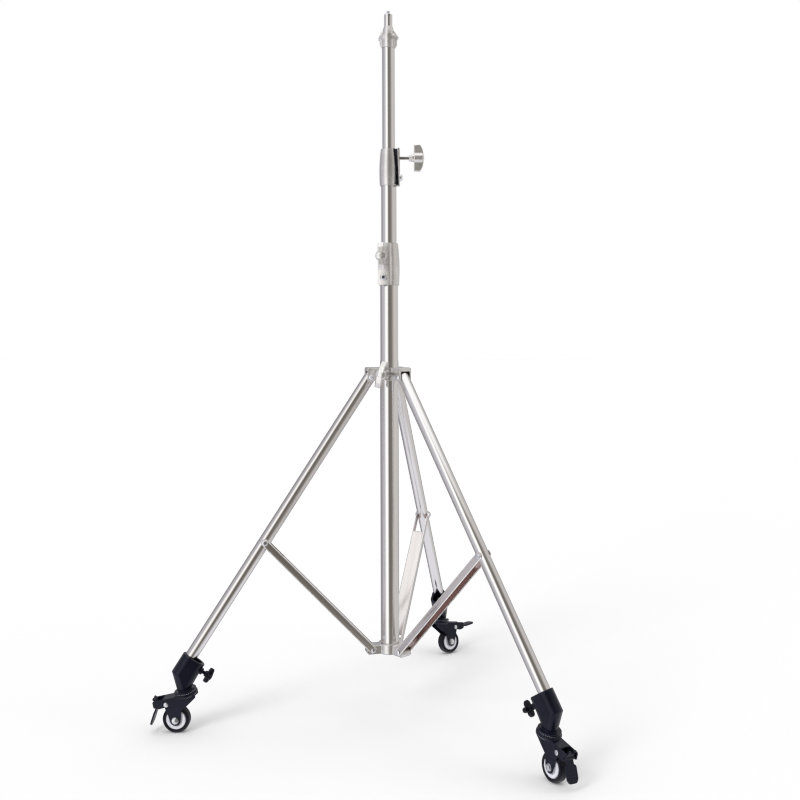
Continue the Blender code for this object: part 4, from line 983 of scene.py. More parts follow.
def head():
    """The cast head on the top riser, with its cross bolt, spigot and threaded stud."""
    top = measure("top_riser_tube", COLUMN)[1].z
    across = Matrix.Rotation(radians(HEAD_BOLT_TURN), 3, "Z") @ Vector((1, 0, 0))
    place = axes_at(column_foot + UP * top, x=across, z=UP)
    low, high = measure("spigot_head", place)
    r = HEAD_D / 2
    cone_top = HEAD_HEIGHT + HEAD_CONE
    body = lathe(eased([(0, GAP, 0), (r, GAP, 0.0008), (r, HEAD_HEIGHT, 0.003),
                        (r * 0.88, HEAD_HEIGHT + HEAD_CONE * 0.4, 0.005),
                        (SPIGOT_D / 2 + HEAD_STEP, cone_top, 0.0006), (0, cone_top, 0)],
                       closed=False, steps=6), 72)
    reach = r + HEAD_BOSS_OUT
    end_r, boss_r = HEAD_BOSS_END_D / 2, HEAD_BOSS_D / 2
    boss = lathe(eased([(0, -reach, 0), (end_r, -reach, 0.001), (boss_r, -r * 0.6, 0.002),
                        (boss_r, r * 0.6, 0.002), (end_r, reach, 0.001), (0, reach, 0)], closed=False), 56)
    boss = shifted(along_x(boss), z=HEAD_BOLT_UP)
    wide = reach - GAP
    half = [(r - GAP, 3 * GAP, 0.001), (wide, HEAD_HEIGHT * 0.25, 0.003), (wide, HEAD_HEIGHT * 0.95, 0.003),
            (wide * 0.87, HEAD_HEIGHT + HEAD_CONE * 0.2, 0.003),
            (wide * 0.56, HEAD_HEIGHT + HEAD_CONE * 0.55, 0.002)]
    ears = eased(half + [(-x, z, e) for x, z, e in reversed(half)])
    ears = plate(ears, -HEAD_EAR_THICK / 2, HEAD_EAR_THICK / 2)
    ears = edged(ears, HEAD_EAR_EDGE, segments=3, angle=50)
    shape = cast(together(body, boss, ears), grain=0.0004, rounds=5, keep=0.5)
    piece("head_casting", shape, place, satin_casting("head_casting_metal", place), "top_riser",
          "spigot_head", smooth=0)
    plug = lathe([(0, low.z), (r * 0.7, low.z), (r * 0.7, HEAD_PLUG_UP), (0, HEAD_PLUG_UP)], 48)
    piece("head_plug", plug, place, satin_casting("head_plug_metal", place), "top_riser")
    root, seat, seat_r = cone_top - ROOT, high.z - STUD_SEAT, STUD_D / 2 + HAIR
    spigot = lathe(eased([(0, root, 0), (SPIGOT_D / 2, root, 0), (SPIGOT_D / 2, high.z, SPIGOT_EDGE),
                          (seat_r, high.z, 0), (seat_r, seat, 0), (0, seat, 0)], closed=False), 72)
    hole = rod(SPIGOT_HOLE_D / 2, -SPIGOT_D, SPIGOT_D, 32)
    view_turn = Matrix.Rotation(radians(CAMERA_TURN - HEAD_BOLT_TURN + SPIGOT_HOLE_TURN), 4, "Z")
    hole = shifted(moved(along_y(hole), view_turn), z=high.z - SPIGOT_HOLE_DOWN)
    piece("spigot", cut(spigot, hole), place, polished_tube("spigot_steel", place), "top_riser")
    stud_low, stud_high = measure("spigot_stud", place)
    shank = thread(STUD_D / 2, STUD_PITCH, stud_low.z, stud_high.z - STUD_THREAD_SHORT, facets=32, rows=8)
    tip_foot = stud_high.z - STUD_TIP
    tip = lathe(eased([(0, tip_foot, 0), (STUD_D / 2 * 0.92, tip_foot, 0),
                       (STUD_D / 2 * 0.8, stud_high.z, 0.0003), (0, stud_high.z, 0)], closed=False), 32)
    piece("stud_thread", together(shank, tip), place, zinc_plate("stud_zinc", place), "top_riser",
          "spigot_stud")
    bolt_low, bolt_high = measure("head_bolt", place)
    screw_head = button_head(HEAD_BOLT_HEAD_D / 2, reach + GAP, bolt_high.x)
    nut = hexagon(HEAD_NUT_FLATS, bolt_low.x, -reach - GAP)
    shank = rod(HEAD_BOLT_D / 2, bolt_low.x - HEAD_BOLT_TIP, reach + OVERLAP)
    bolt = shifted(along_x(together(screw_head, nut, shank)), z=HEAD_BOLT_UP)
    piece("head_bolt_plated", bolt, place, zinc_plate("head_bolt_zinc", place), "top_riser", "head_bolt")
    # Painted shade: a black rod at the bottom of the bolt's hex socket
    core = shifted(along_x(painted_socket_shade(bolt_high.x)), z=HEAD_BOLT_UP)
    piece("head_bolt_socket", core, place, black_oxide_and_socket_shade("head_bolt_socket_painted_shade", place), "top_riser")


def radial(side, height=0.0):
    """A leg's upright place on the column's axis: X points outward."""
    return axes_at(column_foot + UP * height, y=direction(side + "_leg_fold"), z=UP)


def crown():
    """The sliding crown: a ring with an inverted channel for each leg's top, and a boss for its knob."""
    base_r = measure("base_tube", COLUMN)[1].x
    low, high = measure("crown", COLUMN)
    ring_r = base_r + GAP + RING_WALL
    shape = rod(ring_r, low.z, high.z, 96)
    lugs, slots, holes = [], [], []
    for side in SIDES:
        turn = radial(side)
        turn.translation = (0, 0, 0)
        leg_r = measure(side + "_leg_tube", leg_place(side))[1].y
        inside = leg_r + GAP
        outside = inside + LUG_WALL
        lug = box((base_r + ROOT, -outside, low.z), (LUG_REACH, outside, high.z))
        lugs.append(moved(edged(lug, LUG_EDGE, segments=3, angle=50), turn))
        # The slot leaves room for the black cheeks of painted shade
        room = inside + CROWN_SHADE_CHEEK
        slots.append(moved(box((ring_r + LUG_SHUT, -room, low.z - SLOT_RUN_OUT),
                               (LUG_REACH + SLOT_RUN_OUT, room, high.z - CROWN_TOP_PLATE)), turn))
        at = pivot(side + "_leg_fold") - column_foot
        hole = along_y(rod(PIN_D / 2 + GAP, -PIN_BORE_HALF, PIN_BORE_HALF))
        holes.append(moved(hole, Matrix.Translation(at) @ turn))
    knob = direction("crown_knob_turn")
    knob_at = pivot("crown_knob_turn") - column_foot
    boss_place = axes_at(knob_at, x=knob, z=UP)
    boss_r, boss_end = CROWN_BOSS_D / 2, ring_r + CROWN_BOSS_OUT
    boss = lathe(eased([(0, base_r + ROOT, 0), (boss_r, base_r + ROOT, 0), (boss_r, boss_end, 0.0012),
                        (0, boss_end, 0)], closed=False), 48)
    shape = joined(shape, *lugs, moved(along_x(boss), boss_place))
    holes.append(moved(along_x(rod(KNOB_SCREW_D / 2 + GAP, 0, KNOB_BORE_LENGTH)), boss_place))
    bore = rod(base_r + GAP, low.z - BORE_RUN_OUT, high.z + BORE_RUN_OUT, 96)
    shape = cast(cut(shape, *slots, *holes, bore), grain=0.0006, rounds=4, keep=0.45)
    piece("crown_casting", shape, COLUMN, satin_casting("crown_metal", COLUMN), "crown", "crown", smooth=0)
    for side in SIDES:
        pin(side + "_leg_pin", radial_at(side, "_leg_fold"), "crown")
        # Painted shade: thin black sheets inside each leg's channel
        crown_channel_shade(side, base_r, low.z, high.z)


def crown_channel_shade(side, base_r, foot, top):
    """Painted shade in a leg's channel: a thin black roof and two thin black cheeks between the leg's rounded
    top and the channel.
    """
    place = radial(side)
    leg_r = measure(side + "_leg_tube", leg_place(side))[1].y
    roof = top - CROWN_TOP_PLATE
    inner = base_r + GAP + RING_WALL + LUG_SHUT + HAIR
    outer = LUG_REACH - CROWN_SHADE_SHORT
    lid = box((inner, -leg_r, roof - CROWN_SHADE_ROOF), (outer, leg_r, roof - HAIR))
    outline = eased([(inner, roof - HAIR, 0), (inner, foot + CROWN_SHADE_UP, 0.001),
                     (outer, foot + CROWN_SHADE_UP, 0.001), (outer, roof - HAIR, 0.001)])
    near = leg_r + HAIR
    far = near + CROWN_SHADE_CHEEK
    cheeks = [plate(outline, near, far), plate(outline, -far, -near)]
    # Painted shade: the black sheets darken the inside of the channel
    piece(side + "_crown_channel_shade", together(lid, *cheeks), place,
          black_moulding(side + "_crown_channel_shade_black", place), "crown")


def radial_at(side, joint):
    return axes_at(pivot(side + joint), y=direction(side + "_leg_fold"), z=UP)


def pin(node, place, body):
    """A rivet pin with a low round head at each end."""
    low, high = measure(node, place)
    r = high.z
    head = (high.y - low.y) * PIN_HEAD
    outline = [(0, low.y, 0), (r * 0.5, low.y, 0.0004), (r, low.y + head * 0.6, 0.0005),
               (r, low.y + head, 0.0002), (PIN_D / 2, low.y + head, 0), (PIN_D / 2, high.y - head, 0),
               (r, high.y - head, 0.0002), (r, high.y - head * 0.6, 0.0005), (r * 0.5, high.y, 0.0004),
               (0, high.y, 0)]
    piece(node + "_riveted", along_y(lathe(eased(outline, closed=False), 40)), place,
          zinc_plate(node + "_zinc", place), body, node)


def hub():
    """The fixed hub at the column's foot, with an arm for each brace."""
    base_r = measure("base_tube", COLUMN)[1].x
    low, high = measure("brace_hub", COLUMN)
    ring_r = base_r + GAP + RING_WALL
    shape = rod(ring_r, low.z, high.z, 96)
    arms, holes = [], []
    for side in SIDES:
        turn = radial(side)
        turn.translation = (0, 0, 0)
        at = turn.inverted() @ (pivot(side + "_brace_fold") - column_foot)
        end = at.x + HUB_ARM_REACH
        outline = [(base_r + ROOT, low.z), (end - HUB_ARM_ABOVE_PIVOT / 2, low.z),
                   (end, low.z + HUB_ARM_ABOVE_PIVOT / 2)]
        outline += arc((at.x, at.z), HUB_ARM_ABOVE_PIVOT, 30, 90, 10)
        outline += [(base_r + ROOT, at.z + HUB_ARM_ABOVE_PIVOT)]
        half = measure(side + "_leg_tube", leg_place(side))[1].y
        arms.append(moved(plate(outline, -half, half), turn))
        hole = shifted(along_y(rod(PIN_D / 2 + GAP, -PIN_BORE_HALF, PIN_BORE_HALF)), at.x, 0, at.z)
        holes.append(moved(hole, turn))
    bore = rod(base_r + GAP, low.z - BORE_RUN_OUT, high.z + BORE_RUN_OUT, 96)
    shape = cast(cut(joined(shape, *arms), *holes, bore), grain=0.0006, rounds=4, keep=0.45)
    piece("hub_casting", shape, COLUMN, satin_casting("hub_metal", COLUMN), "base", "brace_hub", smooth=0)
    for side in SIDES:
        pin(side + "_hub_pin", radial_at(side, "_brace_fold"), "base")


def leg_place(side):
    """The leg's place: its top pivot, with Z up along the tube."""
    up = (pivot(side + "_leg_fold") - pivot(side + "_socket_knob_turn")).normalized()
    return axes_at(pivot(side + "_leg_fold"), y=direction(side + "_leg_fold"), z=up)


def brace_place(side):
    """The brace's place: its hub pivot, with Z along it to its bolt, and the length between the two."""
    leg = leg_place(side)
    low, high = measure(side + "_brace_bolt", leg)
    bolt = leg @ Vector(((low.x + high.x) / 2, 0, (low.z + high.z) / 2))
    foot = pivot(side + "_brace_fold")
    place = axes_at(foot, y=direction(side + "_leg_fold"), z=(bolt - foot).normalized())
    return place, (bolt - foot).length


def leg(side, tree):
    """A leg tube with its domed top, which turns on the crown's pin."""
    place = leg_place(side)
    node = side + "_leg_tube"
    low, high = measure(node, place)
    steel = polished_tube(node + "_steel", place)
    wall = grown(tree, {"Radius": high.y, "Wall": TUBE_WALL, "Length": -low.z, "Edge": TUBE_EDGE,
                        "Facets": 72, "Material": steel})
    wall = shifted(wall, z=low.z)
    inner = high.y - TUBE_WALL * 1.5
    dome = [(high.y * cos(radians(a)), high.y * sin(radians(a))) for a in range(0, 91, 9)]
    dome = [(0, -CAP_DOWN), (inner, -CAP_DOWN), (inner, -CAP_SEAM), (high.y, -CAP_SEAM)] + dome
    cap = lathe(dome[:-1] + [(0, high.y)], 64)
    hole = along_y(rod(PIN_D / 2 + GAP, -CAP_BORE_HALF, CAP_BORE_HALF))
    piece(node + "_wall", together(wall, cut(cap, hole)), place, steel, side + "_leg", node)


def brace(side):
    """A channel of folded sheet, its web toward the column and its open side round the leg."""
    place, length = brace_place(side)
    node = side + "_brace"
    low, high = measure(node, place)
    far = high.y
    near = far - BRACE_SHEET
    web = -BRACE_FLANGE / 2
    inner_web, inner_bend = web + BRACE_SHEET, BRACE_BEND - BRACE_SHEET
    outer = eased([(-web, -far, 0), (web, -far, BRACE_BEND), (web, far, BRACE_BEND), (-web, far, 0)],
                  closed=False, steps=6)
    inner = eased([(-web, near, 0), (inner_web, near, inner_bend), (inner_web, -near, inner_bend),
                   (-web, -near, 0)], closed=False, steps=6)
    section = outer + inner
    channel = loft([[Vector((x, y, z)) for x, y in section] for z in (low.z, high.z)])
    r = BRACE_END_BEYOND_HOLE
    side_view = arc((0, 0), r, 180, 360, 12) + arc((0, length), r, 0, 180, 12)
    channel = carved(channel, "INTERSECT", plate(side_view, -far * 2, far * 2))
    web_cut = eased([(web * 3, low.z * 3, 0), (BRACE_WEB_CUT_REACH, low.z * 3, 0),
                     (BRACE_WEB_CUT_REACH, BRACE_WEB_FROM_HUB, BRACE_CUT_ROUND),
                     (web * 3, BRACE_WEB_FROM_HUB + BRACE_WEB_SLOPE, 0)])
    cut_foot, cut_reach = length - BRACE_WEB_CUT_BACK, web + BRACE_CUT_ROUND
    far_cut = eased([(web * 3, cut_foot, 0), (cut_reach, cut_foot, BRACE_CUT_ROUND),
                     (cut_reach, high.z * 2, 0), (web * 3, high.z * 2, 0)])
    within = near - HAIR
    channel = cut(channel, plate(web_cut, -within, within), plate(far_cut, -within, within))
    holes = [shifted(along_y(rod(PIN_D / 2 + GAP, -far * 2, far * 2, 32)), z=z) for z in (0.0, length)]
    channel = edged(cut(channel, *holes), BRACE_SHEET * 0.3, segments=3, angle=50)
    # Its sheet carries painted shade inside the channel and painted highlights along its folds and free edges
    piece(node + "_channel", channel, place, channel_sheet_painted_light(node + "_sheet", place, web, far),
          side + "_brace", node)
    at = place @ Matrix.Translation((0, 0, length))
    bolt_low, bolt_high = measure(side + "_brace_bolt", at)
    head_r = bolt_high.z
    head = lathe(eased([(0, far + GAP, 0), (head_r, far + GAP, 0.0002),
                        (head_r, far + BRACE_BOLT_RIM, 0.0008), (head_r * 0.6, bolt_high.y, 0.0008),
                        (0, bolt_high.y, 0)], closed=False), 48)
    shank = rod(PIN_D / 2, bolt_low.y, far + 0.0006, 32)
    bolt_finish = black_oxide_and_socket_shade if side == "right" else zinc_plate
    piece(side + "_brace_bolt_finished", along_y(together(head, shank)), at,
          bolt_finish(side + "_brace_bolt_finish", at), side + "_brace", side + "_brace_bolt")
    nut_low, nut_high = measure(side + "_brace_nut", at)
    nut = hexagon(2 * nut_high.z * cos(pi / 6), nut_low.y + NUT_THREAD_SHOWS, -far - GAP)
    shank = thread(PIN_D / 2, M6_PITCH, nut_low.y, nut_high.y)
    piece(side + "_brace_nut_plated", along_y(together(nut, shank)), at,
          zinc_plate(side + "_brace_nut_zinc", at), side + "_brace", side + "_brace_nut")


def caster_place(side):
    """The caster's place on its race: Z is the swivel axis and X points outward."""
    joint = side + "_caster_swivel"
    return axes_at(pivot(joint), y=direction(side + "_leg_fold"), z=direction(joint))


def fork_place(side):
    """The fork's place on its race: the wheel trails along X."""
    joint = side + "_caster_swivel"
    return axes_at(pivot(joint), y=direction(side + "_wheel_spin"), z=direction(joint))


def socket(side):
    """The black socket that the leg stands in, with the boss and hole for the thumb screw that holds it."""
    leg = leg_place(side)
    place = caster_place(side)
    node = side + "_caster_socket"
    mouth_z = measure(node, leg)[1].z
    to_place = place.inverted() @ leg
    mouth = to_place @ Vector((0, 0, mouth_z))
    turned = to_place.to_3x3()
    down, out = turned @ Vector((0, 0, -1)), turned @ Vector((1, 0, 0))
    middle = out * ((SOCKET_OUTSIDE - SOCKET_INSIDE) / 2)
    half_length = (SOCKET_OUTSIDE + SOCKET_INSIDE) / 2
    flange_top = GAP + UPPER_RACE_HEIGHT
    neck_r = SOCKET_NECK_D / 2
    neck_z = flange_top + SOCKET_NECK_RISE
    heel = mouth + down * SOCKET_OUTER_RUN + out * SOCKET_OUTSIDE
    inner_low = mouth + down * SOCKET_INNER_RUN - out * SOCKET_INSIDE
    toe = inner_low.lerp(Vector((-neck_r, 0, neck_z)), 0.45)
    across = heel - toe
    flat = Vector((1, 0, 0))
    race_r = UPPER_RACE_D / 2
    rings = [oblong(mouth + middle, out, half_length, SOCKET_HALF_WIDTH),
             oblong(mouth + middle + down * SOCKET_INNER_RUN, out, half_length, SOCKET_HALF_WIDTH),
             oblong((heel + toe) / 2, across.normalized(), across.length / 2, SOCKET_HALF_WIDTH),
             oblong((0, 0, neck_z), flat, neck_r, neck_r),
             oblong((0, 0, flange_top), flat, neck_r * 0.95, neck_r * 0.95),
             oblong((0, 0, flange_top), flat, race_r, race_r),
             oblong((0, 0, GAP + RACE_GROOVE), flat, race_r, race_r),
             oblong((0, 0, GAP), flat, race_r - RACE_GROOVE * 1.5, race_r - RACE_GROOVE * 1.5)]
    body = loft(rings)
    tilt = to_place @ Matrix.Translation((0, 0, mouth_z))
    turn_in = Matrix.Rotation(-pi / 2, 4, "Y")
    boss = rod(SOCKET_BOSS_D / 2, SOCKET_BORE_INSIDE + GAP, SOCKET_INSIDE + SOCKET_BOSS_OUT, 40)
    boss = moved(shifted(moved(boss, turn_in), z=-SOCKET_SCREW_DOWN), tilt)
    leg_r = measure(side + "_leg_tube", leg)[1].y
    bore_out = leg_r + GAP
    bore_half = (bore_out + SOCKET_BORE_INSIDE) / 2
    bore_mid = (bore_out - SOCKET_BORE_INSIDE) / 2
    bore = loft([oblong((bore_mid, 0, z), flat, bore_half, bore_out)
                 for z in (SOCKET_BORE_DEPTH, -SOCKET_BORE_DEPTH)])
    hole = shifted(moved(rod(SCREW_HOLE_D / 2, 0, SOCKET_INSIDE * 2), turn_in), z=-SOCKET_SCREW_DOWN)
    shape = cut(joined(body, boss), moved(bore, tilt), moved(hole, tilt))
    shape = cast(shape, grain=0.0006, rounds=4, keep=0.5)
    piece(node + "_shell", shape, place, black_enamel(node + "_enamel", place), side + "_leg", node, smooth=0)


def star_ring(outer_r, waist_r, z, facets=96):
    """One level of a thumb knob: round lobes with hollows between them."""
    points = []
    for i in range(facets):
        turn = 2 * pi * i / facets
        swell = (1 + cos(THUMB_LOBES * turn)) / 2
        r = waist_r + (outer_r - waist_r) * swell ** 0.6
        points.append(Vector((r * cos(turn), r * sin(turn), z)))
    return points


def thumb_knob(side):
    """The four-lobed thumb screw on the inside of a caster's socket."""
    joint = side + "_socket_knob_turn"
    place = axes_at(pivot(joint), x=direction(joint), y=direction(side + "_leg_fold"))
    node = side + "_socket_knob"
    low, high = measure(node, place)
    start = high.x - THUMB_THICK
    outer, waist = THUMB_D / 2, THUMB_WAIST_D / 2
    levels = [(0.90, 0.0), (0.97, 0.05), (1.0, 0.14), (1.0, 0.62), (0.97, 0.72), (0.88, 0.80)]
    rings = [star_ring(outer * k, waist * k, THUMB_THICK * t) for k, t in levels]
    rings += [star_ring(outer * k, waist * (0.4 + 0.6 * k), THUMB_THICK * t)
              for k, t in ((0.55, 0.88), (0.35, 0.98), (0.2, 1.0))]
    star = shifted(loft(rings), z=start)
    boss_r, boss_foot = THUMB_BOSS_D / 2, start - THUMB_BOSS_LENGTH
    boss = lathe(eased([(0, boss_foot, 0), (boss_r * 0.9, boss_foot, 0.0006), (boss_r, start + OVERLAP, 0),
                        (0, start + OVERLAP, 0)], closed=False), 40)
    star = cast(joined(star, boss), grain=0.0004, rounds=4, keep=0.4)
    piece(node + "_moulding", along_x(star), place, black_moulding(node + "_plastic", place),
          side + "_socket_knob", node, smooth=0)
    screw = thread(THUMB_SCREW_D / 2, M6_PITCH, low.x, boss_foot + SCREW_ROOT)
    piece(node + "_screw", along_x(screw), place, black_enamel(node + "_screw_black", place),
          side + "_socket_knob")


def fork(side, balls):
    """The caster's pressed fork with its brake arm, cheek rivets, axle bolt and the balls of its race."""
    place = fork_place(side)
    axle_at = place.inverted() @ pivot(side + "_wheel_spin")
    pedal_joint = side + ("_pedal_press" if side + "_pedal_press" in joints else "_pedal_lift")
    hinge_at = place.inverted() @ pivot(pedal_joint)
    near = FORK_INSIDE / 2
    far = near + FORK_SHEET
    top = -RACE_HEIGHT * 0.35
    rear = -RACE_D / 2 * 0.86
    arm_low = top - BRAKE_ARM_DEPTH
    x, z = axle_at.x, axle_at.z
    outline = [(rear, top), (rear, -RACE_HEIGHT * 1.4), (x - FORK_AXLE_END_R * 1.6, z * 0.66)]
    outline += arc((x, z), FORK_AXLE_END_R, 195, 345, 20)
    outline += [(x + FORK_AXLE_END_R * 1.15, z + FORK_AXLE_END_R * 1.5),
                (hinge_at.x * 0.74, arm_low + BRAKE_ARM_DEPTH * 0.06),
                (hinge_at.x * 0.94, arm_low), (BRAKE_ARM_REACH, arm_low + BRAKE_ARM_DEPTH * 0.25),
                (BRAKE_ARM_REACH, top - BRAKE_ARM_DEPTH * 0.15),
                (BRAKE_ARM_REACH - BRAKE_ARM_DEPTH * 0.15, top)]
    body = plate(outline, -far, far)
    inside = [(rear * 2, z * 2), (BRAKE_ARM_REACH * 2, z * 2), (BRAKE_ARM_REACH * 2, -z),
              (BRAKE_ROOF_END, -z), (BRAKE_ROOF_END, top - FORK_PLATE_T), (rear * 2, top - FORK_PLATE_T)]
    axle_hole = along_y(rod(SCREW_HOLE_D / 2, -PIN_BORE_HALF, PIN_BORE_HALF))
    body = cut(body, plate(inside, -near, near), shifted(axle_hole, x, 0, z))
    race_r = RACE_D / 2
    cup = lathe(eased([(0, -RACE_HEIGHT, 0), (race_r * 0.86, -RACE_HEIGHT, 0.002),
                       (race_r, -RACE_HEIGHT * 0.55, 0.001), (race_r, -RACE_GROOVE, 0.0004),
                       (race_r - RACE_GROOVE * 2.2, 0, 0), (KINGPIN_R, 0, 0), (KINGPIN_R, KINGPIN_UP, 0),
                       (0, KINGPIN_UP, 0)], closed=False), 72)
    hinge_pin = along_y(rod(BRAKE_BARREL_R / 2, -far - HINGE_PIN_OUT, far + HINGE_PIN_OUT, 32))
    hinge_pin = shifted(hinge_pin, hinge_at.x, 0, hinge_at.z)
    shape = cast(joined(body, cup), grain=0.00045, rounds=3, keep=0.5)
    piece(side + "_fork_pressing", shape, place, black_enamel(side + "_fork_enamel", place), side + "_fork",
          side + "_caster_fork", smooth=0)
    piece(side + "_pedal_hinge_pin", hinge_pin, place, black_enamel(side + "_hinge_pin_black", place),
          side + "_fork")
    rivets = []
    for face in (1, -1):
        head = lathe(eased([(0, far - CHEEK_RIVET_ROOT, 0), (CHEEK_RIVET_D / 2, far - CHEEK_RIVET_ROOT, 0),
                            (CHEEK_RIVET_D / 2, far + CHEEK_RIVET_RIM, 0.0004),
                            (CHEEK_RIVET_D * 0.3, far + CHEEK_RIVET_UP, 0.0006),
                            (0, far + CHEEK_RIVET_UP, 0)], closed=False), 40)
        head = moved(head, Matrix.Rotation(0 if face > 0 else pi, 4, "X"))
        rivets.append(shifted(along_y(head), CHEEK_RIVET[0], 0, CHEEK_RIVET[1]))
    piece(side + "_cheek_rivets", together(*rivets), place, zinc_plate(side + "_rivet_zinc", place),
          side + "_fork")
    at = place @ Matrix.Translation(axle_at)
    low, high = measure(side + "_axle_bolt", at)
    flats = 2 * high.z * cos(pi / 6)
    heads = [hexagon(flats, far + GAP, high.y - BOLT_TIP), hexagon(flats, low.y + BOLT_TIP, -far - GAP)]
    washer_r = flats * 0.62
    washers = [lathe(eased([(0, y, 0), (washer_r, y, 0.0002), (washer_r, y + WASHER_T, 0.0002),
                            (0, y + WASHER_T, 0)], closed=False), 40)
               for y in (far + HAIR, -far - WASHER_T - HAIR)]
    shank = thread(AXLE_D / 2, M6_PITCH, low.y, high.y)
    piece(side + "_axle_bolt_plated", along_y(together(*heads, *washers, shank)), at,
          zinc_plate(side + "_axle_zinc", at), side + "_fork", side + "_axle_bolt")
    steel = zinc_plate(side + "_ball_steel", place)
    ring = grown(balls, {"Radius": UPPER_RACE_D / 2 - BALL_D, "Ball": BALL_D / 2, "Count": BALLS,
                         "Material": steel})
    piece(side + "_race_balls", ring, place, steel, side + "_fork")


def wheel(side):
    """The tyre and the pale wheel centre, which turn on the axle."""
    joint = side + "_wheel_spin"
    place = axes_at(pivot(joint), y=direction(joint), z=direction(side + "_caster_swivel"))
    half, r = TYRE_WIDTH / 2, WHEEL_D / 2 - TYRE_WITHIN
    bead, turn_in = WHEEL_RIM_D / 2 + GAP, TYRE_SHOULDER * 0.30
    tyre = eased([(bead, -half + TYRE_SHOULDER * 0.5, 0.0004), (r - TYRE_SHOULDER, -half, 0.0012),
                  (r - turn_in, -half + turn_in, 0.002), (r, -half + TYRE_SHOULDER, 0.002),
                  (r, half - TYRE_SHOULDER, 0.002), (r - turn_in, half - turn_in, 0.002),
                  (r - TYRE_SHOULDER, half, 0.0012), (bead, half - TYRE_SHOULDER * 0.5, 0.0004)], steps=5)
    piece(side + "_tyre_tread", along_y(lathe(tyre, 96, ring=True)), place,
          tyre_rubber(side + "_tyre_rubber", place), side + "_wheel", side + "_caster_tyre", smooth=50)
    rim, disc, hub_half = WHEEL_RIM_WIDTH / 2, WHEEL_DISC_WIDTH / 2, FORK_INSIDE / 2 - GAP
    ring_r, hub_r, bore = WHEEL_RING_INNER_D / 2, WHEEL_RING_INNER_D * 0.3, SCREW_HOLE_D / 2
    outer = WHEEL_RIM_D / 2
    profile = [(bore, -hub_half, 0.0003), (hub_r, -hub_half, 0.0006), (hub_r * 1.15, -disc, 0.001),
               (ring_r * 0.94, -disc, 0.001), (ring_r, -rim, 0.0007),
               (outer - WHEEL_LIP, -rim - WHEEL_LIP_PROUD, 0.0008), (outer, -rim + WHEEL_LIP, 0.0006),
               (outer, rim - WHEEL_LIP, 0.0006), (outer - WHEEL_LIP, rim + WHEEL_LIP_PROUD, 0.0008),
               (ring_r, rim, 0.0007), (ring_r * 0.94, disc, 0.001), (hub_r * 1.15, disc, 0.001),
               (hub_r, hub_half, 0.0006), (bore, hub_half, 0.0003)]
    piece(side + "_wheel_centre", along_y(lathe(eased(profile), 96, ring=True)), place,
          wheel_moulding(side + "_wheel_plastic", place), side + "_wheel", side + "_caster_wheel")


def pedal(side, ribs):
    """The brake pedal with its grip ribs and the release tab above it."""
    pressed = side + "_pedal_lift" in joints
    joint = side + ("_pedal_lift" if pressed else "_pedal_press")
    swivel = fork_place(side)
    lift = 0.0 if pressed else radians(joints[joint]["range_deg"][1])
    place = swivel.copy()
    place.translation = pivot(joint)
    place = place @ Matrix.Rotation(-lift, 4, "Y")
    half = FORK_INSIDE / 2 - GAP
    barrel = along_y(rod(BRAKE_BARREL_R, -half, half, 40, 0.0005))
    lean = radians(PEDAL_LEAN)
    blade_turn = axes_at(Vector((0, 0, 0)), x=Vector((cos(lean), 0, sin(lean))),
                         z=Vector((-sin(lean), 0, cos(lean))))
    neck, wide = PEDAL_NECK_WIDTH / 2, PEDAL_WIDTH / 2
    outline = eased([(-neck, 0, 0), (-neck, -PEDAL_NECK, 0.002), (-wide, -PEDAL_NECK - PEDAL_T, 0.003),
                     (-wide, -PEDAL_LENGTH * 0.85, 0.006), (-wide * 0.66, -PEDAL_LENGTH, 0.005),
                     (wide * 0.66, -PEDAL_LENGTH, 0.005), (wide, -PEDAL_LENGTH * 0.85, 0.006),
                     (wide, -PEDAL_NECK - PEDAL_T, 0.003), (neck, -PEDAL_NECK, 0.002), (neck, 0, 0)], steps=5)
    t = PEDAL_T / 2
    blade = loft([[Vector((x, y, z)) for y, z in outline] for x in (-t, t)])
    tab = eased([(-TAB_T, 0, 0), (TAB_T, 0, 0), (TAB_LEAN * 0.5 + TAB_T / 2, TAB_LENGTH * 0.6, 0.002),
                 (TAB_LEAN + TAB_T / 2, TAB_LENGTH * 0.8, 0.001), (TAB_LEAN + TAB_T / 2, TAB_LENGTH, 0.0005),
                 (TAB_LEAN - TAB_T / 2, TAB_LENGTH, 0.0005), (TAB_LEAN - TAB_T, TAB_LENGTH * 0.85, 0.001),
                 (TAB_LEAN * 0.5 - TAB_T, TAB_LENGTH * 0.7, 0.002)])
    between = box((-TAB_LENGTH, -half * 0.28, TAB_LENGTH * 0.55), (TAB_LENGTH, half * 0.28, TAB_LENGTH * 2))
    prongs = cut(plate(tab, -half * 0.8, half * 0.8), between)
    body = cast(joined(barrel, moved(blade, blade_turn), prongs), grain=0.0004, rounds=3, keep=0.5)
    enamel = black_enamel(side + "_pedal_enamel", place)
    piece(side + "_pedal_moulding", body, place, enamel, side + "_pedal", side + "_brake_pedal", smooth=0)
    pitch = (PEDAL_LENGTH * 0.9 - PEDAL_NECK - PEDAL_T * 2) / (PEDAL_RIBS - 1)
    rows = grown(ribs, {"Pitch": -pitch, "Width": PEDAL_WIDTH * 0.82, "Radius": PEDAL_RIB_R,
                        "Count": PEDAL_RIBS, "Material": enamel})
    rows = moved(shifted(rows, x=t - PEDAL_RIB_SET_IN, z=-PEDAL_NECK - PEDAL_T * 2), blade_turn)
    piece(side + "_pedal_ribs", rows, place, enamel, side + "_pedal")


# The room

